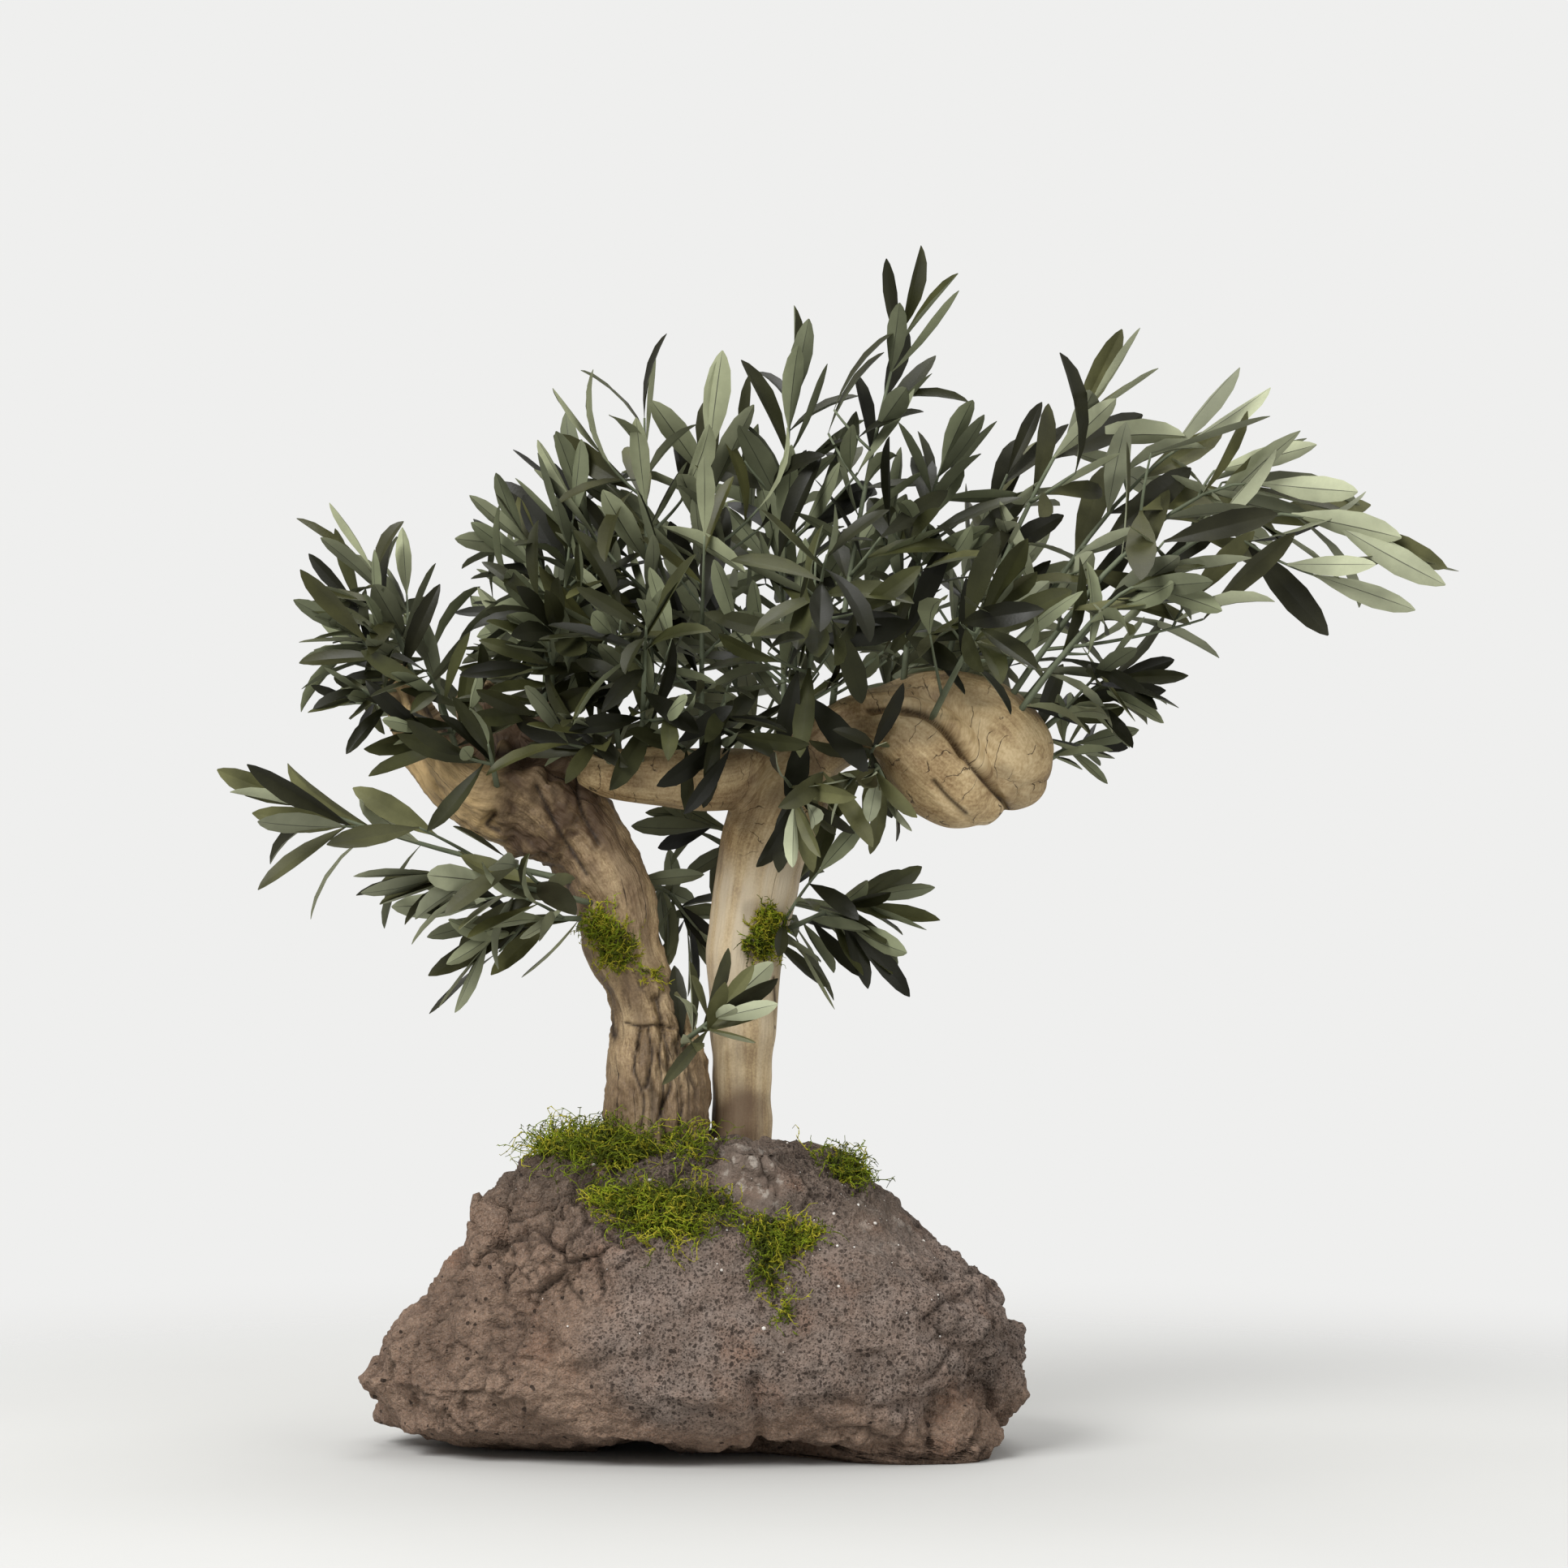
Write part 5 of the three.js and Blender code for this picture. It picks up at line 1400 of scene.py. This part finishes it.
def leaf_looks(tint):
    """Materials of one tint: the upper sides in each shade, the undersides in each shade, and the midrib."""
    looks = []
    tints = np.array(LEAF_TINTS[tint])
    for base, (side, (spread, low, high)) in zip(tints, LEAF_SIDES.items()):
        for number, shade in enumerate(LEAF_SHADES):
            own = base * (shade if side == "upper" else shade**0.3)
            dark, light = (colour(*(own * (1 + change))) for change in (-spread, spread))
            name = f"leaf_{side}_{tint + 1}_{number + 1}"
            looks.append(leaf_material(name, dark, light, low, high, LEAF_GLOSS))
    rib = RIB_DARKNESS * tints[1]
    return looks + [leaf_material(f"leaf_rib_{tint + 1}", colour(*rib), colour(*(1.2 * rib)), 0.55, 0.7)]


def grow_spray(name, seed):
    """Twigs of a spray that carry leaves, as (path, radii), each ending at its last leaf, and the leaves that
    stay in the spray's space and clear of the limbs, as rows of (root, along, out, length, draw)."""
    *corners, side_count, leaf_length = SPRAYS[name]
    side_count += SIDE_TWIG_CHANGES.get(name, 0)
    bare = LONG_BARE_SHARES.get(name, BARE_SHARE)
    main, *others = spray_twigs(*corners, side_count, leaf_length, seed)
    stem, tip = main[0], main[3]
    twigs, leaves = [], []
    for twig in (main, *others):
        curve, radius = twig[0], twig[2]
        path = bezier(curve, np.linspace(0, 1, TWIG_POINTS))
        if twig is not main and not clear_of_limbs(path[3:]).all():
            continue
        root, along, out, length, draw, share = twig_leaves(twig, leaf_length, bare, HANGING.get(name))
        ends = root + out * length[:, None]
        kept = keeps_to_space(ends, stem, tip) & clear_of_limbs(ends)
        kept &= clear_of_limbs(root + out * LEAF_MIDDLE * length[:, None])
        kept[0] |= twig is main
        if not kept.any():
            continue
        path = bezier(curve, np.linspace(0, share[kept].max(), TWIG_POINTS))
        twigs.append((path, np.linspace(radius, TIP_RADIUS, TWIG_POINTS)))
        leaves.append([part[kept] for part in (root, along, out, length, draw)])
    return twigs, leaves


def build_leaves(tint, leaves, nodes):
    """Leaves of one tint as one piece: each leaf's upper side and underside in a shade of its own, with a rib
    along the middle of the underside."""
    parts = [np.concatenate(rows) for rows in zip(*leaves)]
    rings = leaf_rings(*parts)
    points, quads, fans = skins(rings)
    count = len(LEAF_SHADES)
    shade = (count * chance(parts[-1], 8)).astype(int)[:, None]
    upper, under, rib = 0, count, 2 * count
    sides = np.tile(np.array([upper, upper, upper, under, rib, under]), rings.shape[1] - 1)
    quad_looks = sides + np.where(sides < rib, shade, 0)
    fan_looks = np.repeat(shade, 2 * rings.shape[2], axis=1)
    looks = np.concatenate([quad_looks.ravel(), fan_looks.ravel()])
    mesh = put_mesh(f"leaves_{tint + 1}", points, quads, fans)
    put_piece(mesh, leaf_looks(tint), nodes, looks, sharp=LEAF_SHARP)


def build_sprays():
    """Twigs and leaves of all sprays, the twigs in one piece and the leaves dealt out by spray to pieces of
    one tint each."""
    twigs = []
    leaves = [[] for _ in LEAF_TINTS]
    nodes = [[] for _ in LEAF_TINTS]
    pale_tint = len(LEAF_TINTS) - 1
    for seed, name in enumerate(SPRAYS, start=1):
        tint = pale_tint if name in PALE_SPRAYS else int(pale_tint * chance(seed, 77))
        grown_twigs, grown_leaves = grow_spray(name, seed)
        twigs += grown_twigs
        leaves[tint] += grown_leaves
        nodes[tint].append("spray_" + name)
    paths, radii = (np.array(rows) for rows in zip(*twigs))
    twig_look = leaf_material("twig_bark", colour(84, 90, 69), colour(122, 130, 106), 0.6, 0.75)
    mesh = put_mesh("twigs", *skins(tubes(paths, radii, TWIG_SIDES)))
    put_piece(mesh, [twig_look], ["spray_" + name for name in SPRAYS])
    for tint in range(len(LEAF_TINTS)):
        build_leaves(tint, leaves[tint], nodes[tint])


# Moss and grit
MOSS_STEPS = 9
MOSS_LEAFLETS = 6  # on each strand
MOSS_RADII = (0.33, 0.17)  # of a strand, at its foot and tip
LEAFLET_RADII = (0.44, 0.07)
MOSS_SIDES = 3
MOSS_LINE_POINTS = 40  # along a tuft's middle line
MOSS_RAGGED = 0.6  # how far a tuft's edge strays
MOSS_EDGE = 1.15  # furthest strand from the middle line over the half width
MOSS_TRIES = 5  # points tried for each strand
MOSS_SUNK = 0.8  # depth of a strand's foot below the surface
MOSS_STEP = (0.11, 0.22)  # along a strand, over the tuft's height: the least, and the range
MOSS_FIRST_LIFT = 0.35  # how far a strand leaves the surface at its foot
MOSS_LIFT = 0.25  # how far it turns away from the surface at each step
MOSS_SINK = 0.8  # and back towards it at the tuft's height
MOSS_SWING = 1.5  # how far it turns at random
LEAFLET_SLANT = 1.6
LEAFLET_LENGTH = (1.3, 1.5)  # the least, and the range
MOSS_TINTS = (
    ((58, 66, 5), (100, 112, 15)),
    ((94, 108, 9), (146, 160, 30)),
    ((132, 130, 20), (184, 176, 54)),
)


def tossed(seed, draw):
    """Vectors at random, with parts from -0.5 to 0.5."""
    return np.stack([chance(seed + k, draw) - 0.5 for k in range(3)], axis=1)


def moss_roots(points, normals, stations, density, seed):
    """Points of a surface near a tuft's middle line, thinning out towards its ragged edge, with their
    normals."""
    line = catmull_rom(stations, np.linspace(0, 1, MOSS_LINE_POINTS))
    steps = np.linalg.norm(np.diff(line[:, :3], axis=0), axis=1)
    count = int(density * (2 * line[1:, 3] * steps).sum() / 100)
    gaps = np.linalg.norm(points[:, None] - line[None, :, :3], axis=2) / line[:, 3]
    away = gaps.min(axis=1) * (1 + MOSS_RAGGED * noise(points, 8, seed))
    inside = np.flatnonzero(away < MOSS_EDGE)
    tries = np.arange(MOSS_TRIES * count)
    picks = inside[(chance(seed, tries) * len(inside)).astype(int)]
    kept = picks[chance(seed + 1, tries) > away[picks] ** 2 - 0.2][:count]
    return points[kept], normals[kept]


def moss_paths(root, normal, height, seed):
    """Curling strands: each step leans on from the last by a random turn and sinks back towards the
    surface."""
    draw = np.arange(len(root))
    heading = unit(tossed(seed + 2, draw) + MOSS_FIRST_LIFT * normal)
    step = height * drawn(*MOSS_STEP, seed + 5, draw, power=2)[:, None]
    line = [root - MOSS_SUNK * normal]
    for k in range(MOSS_STEPS):
        swing = MOSS_SWING * tossed(seed + 10 + 3 * k, draw)
        over = ((line[-1] - root) * normal).sum(axis=1, keepdims=True) / height
        heading = unit(heading + swing + normal * (MOSS_LIFT - MOSS_SINK * over))
        line.append(line[-1] + step * heading)
    return np.stack(line, axis=1)


def moss_leaflets(paths, seed):
    """Leaflets of strands as short straight paths: each leaves its strand by a random slant towards the
    tip."""
    at = np.arange(2, 2 + MOSS_LEAFLETS)
    root = paths[:, at].reshape(-1, 3)
    along = unit(paths[:, at + 1] - paths[:, at]).reshape(-1, 3)
    draw = np.arange(len(root))
    out = unit(along + LEAFLET_SLANT * unit(tossed(seed, draw)))
    length = drawn(*LEAFLET_LENGTH, seed + 3, draw)[:, None]
    return np.stack([root, root + length * out], axis=1)


def build_moss(surfaces):
    """Moss: strands on the stone and the stems, each a thin tube with tapering leaflets, in three tints."""
    strands = [[] for _ in MOSS_TINTS]
    for index, (carrier, stations, height, density) in enumerate(MOSS_TUFTS.values()):
        points, normals = surfaces[carrier]
        middle = np.array(stations, float)[:, :3]
        near = np.linalg.norm(points - middle.mean(axis=0), axis=1) < 30 + np.ptp(middle, axis=0).max()
        root, normal = moss_roots(points[near], normals[near], stations, density, 10 * index + 1)
        paths = moss_paths(root, normal, height, 10 * index + 3)
        share = chance(index + 1, np.arange(len(paths))) ** (1.3 if carrier == "stone" else 0.6)
        pick = (len(MOSS_TINTS) * share).astype(int)
        for tint in range(len(MOSS_TINTS)):
            strands[tint].append(paths[pick == tint])
    thin = np.linspace(*MOSS_RADII, MOSS_STEPS + 1)
    for tint, (dark, light) in enumerate(MOSS_TINTS):
        paths = np.concatenate(strands[tint])
        leaflets = moss_leaflets(paths, 31 * tint + 7)
        stalks = skins(tubes(paths, np.tile(thin, (len(paths), 1)), MOSS_SIDES))
        leaves = skins(tubes(leaflets, np.tile(LEAFLET_RADII, (len(leaflets), 1)), MOSS_SIDES))
        mesh = put_mesh(f"moss_{tint + 1}", *joined([stalks, leaves]))
        look = leaf_material(f"moss_{tint + 1}", colour(*dark), colour(*light), 0.75, 0.9)
        put_piece(mesh, [look], list(MOSS_TUFTS) if tint == 0 else ())


GRIT_SHARE = 0.013  # of the stone's points that carry a grain where they are densest
GRIT_SIDES = 6
GRIT_RADII = (0.25, 1.1)  # of a grain: the least, and the range
GRIT_STAND = 0.3  # height of a grain's middle above the stone over its radius
# Rings of a grain: level from its middle and width, over its radius
GRIT_LEVELS = (-0.7, 0.0, 0.6)
GRIT_WIDTHS = (0.7, 1.0, 0.6)


def build_grit(points, normals):
    """White grains on the upper stone: small closed skins of three rings, square to the surface."""
    spread = ellipse_mask(points, *GRITTY_FACE, 0.6) + 0.12 * (points[:, 2] > 60) * (points[:, 1] < 0)
    kept = np.flatnonzero(chance(5, np.arange(len(points))) < GRIT_SHARE * spread)
    place, normal = points[kept], normals[kept]
    draw = np.arange(len(kept))
    radius = drawn(*GRIT_RADII, 6, draw, power=4)
    level = GRIT_STAND + np.array(GRIT_LEVELS)
    paths = place[:, None] + level[None, :, None] * radius[:, None, None] * normal[:, None]
    widths = radius[:, None] * np.array(GRIT_WIDTHS) * varied(0.4, 7, draw)[:, None]
    mesh = put_mesh("stone_grit", *skins(tubes(paths, widths, GRIT_SIDES)))
    look = leaf_material("grit", colour(196, 190, 182), colour(232, 228, 222), 0.8, 0.9)
    put_piece(mesh, [look])


# Stage, camera and light
CAMERA_AT = (36.5, -2600, 347)
FOCAL_PIXELS = 6118
IMAGE_PIXELS = 1932
SENSOR_WIDTH = 36
FLOOR_REACH = 3000
FLOOR_SIDES = 64
FLOOR_FADE = (0.22, 0.95)  # metres from the tree where the floor begins to fade and is gone
FLOOR_TINTS = ((0.55, 0.55, 0.535, 1), (0.57, 0.57, 0.555, 1))
FLOOR_ROUGHNESS = 0.9
BACKDROP = (239, 239, 238)  # screen colour behind the tree
SURROUND = (1.0, 0.99, 0.97, 1)
SURROUND_STRENGTH = 0.46
LIGHT_AIM = (0.0, 0.0, 0.3)
# Lights: place in metres, size, and power
LIGHTS = {
    "key": ((-1.5, -1.9, 2.1), 1.5, 90),
    "fill": ((2.0, -1.6, 1.2), 1.8, 24),
    "top": ((0.2, 0.6, 2.6), 1.8, 34),
}


def build_camera():
    """The photograph's view: level, square to the tree's front, from 2.6 metres."""
    data = bpy.data.cameras.new("camera")
    data.sensor_width = SENSOR_WIDTH
    data.lens = SENSOR_WIDTH * FOCAL_PIXELS / IMAGE_PIXELS
    camera = put_object("camera", data)
    camera.location = [MM * v for v in CAMERA_AT]
    camera.rotation_euler = (np.pi / 2, 0, 0)
    bpy.context.scene.camera = camera


def build_floor():
    """A pale round floor that fades out into the backdrop's own tone."""
    turn = np.linspace(0, 2 * np.pi, FLOOR_SIDES, endpoint=False)
    rim = np.stack([np.cos(turn), np.sin(turn), np.zeros(FLOOR_SIDES)], axis=1) * FLOOR_REACH
    mesh = put_mesh("floor", rim, np.arange(FLOOR_SIDES)[None])
    material, tree, surface = new_material("floor")
    place = place_in_object(tree)
    away = add(tree, "VectorMath", {0: place}, operation="LENGTH").outputs["Value"]
    cloud = effect(tree, MOTTLE, place, Scale=3.0, Low=0.2, High=0.8)
    tint = mixed(tree, cloud, *FLOOR_TINTS)
    tree.links.new(tint, surface.inputs["Base Color"])
    surface.inputs["Roughness"].default_value = FLOOR_ROUGHNESS
    clear = add(tree, "BsdfTransparent")
    fade = ranged(tree, away, *FLOOR_FADE)
    both = add(tree, "MixShader", {0: fade, 1: surface.outputs[0], 2: clear.outputs[0]})
    tree.links.new(both.outputs[0], tree.nodes["Material Output"].inputs["Surface"])
    mesh.materials.append(material)
    floor = put_object("floor", mesh)


def build_light():
    """Soft studio light: a pale surround, a large soft box high on the left front, a weaker one on the right,
    and one above the back."""
    scene = bpy.context.scene
    scene.view_settings.view_transform = "Standard"
    world = bpy.data.worlds.new("studio")
    scene.world = world
    world.use_nodes = True
    tree = world.node_tree
    tree.nodes.clear()
    seen = add(tree, "LightPath").outputs["Is Camera Ray"]
    backdrop = add(tree, "Background", {"Color": colour(*BACKDROP), "Strength": 1.0})
    surround = add(tree, "Background", {"Color": SURROUND, "Strength": SURROUND_STRENGTH})
    both = add(tree, "MixShader", {0: seen, 1: surround.outputs[0], 2: backdrop.outputs[0]})
    tree.links.new(both.outputs[0], add(tree, "OutputWorld").inputs["Surface"])
    for name, (at, size, power) in LIGHTS.items():
        data = bpy.data.lights.new(name, "AREA")
        data.size = size
        data.energy = power
        light = put_object(name, data)
        light.location = at
        aim = np.array(LIGHT_AIM) - np.array(at)
        tilt = np.arccos(-aim[2] / np.linalg.norm(aim))
        light.rotation_euler = (tilt, 0, np.arctan2(aim[1], aim[0]) - np.pi / 2)


build_camera()
build_light()
build_floor()
stone_surface = build_stone()
bare_surface = build_bare_wood()
bark_surface = build_bark_wood()
build_sprays()
build_moss({"stone": stone_surface, "bare": bare_surface, "bark": bark_surface})
build_grit(*stone_surface)
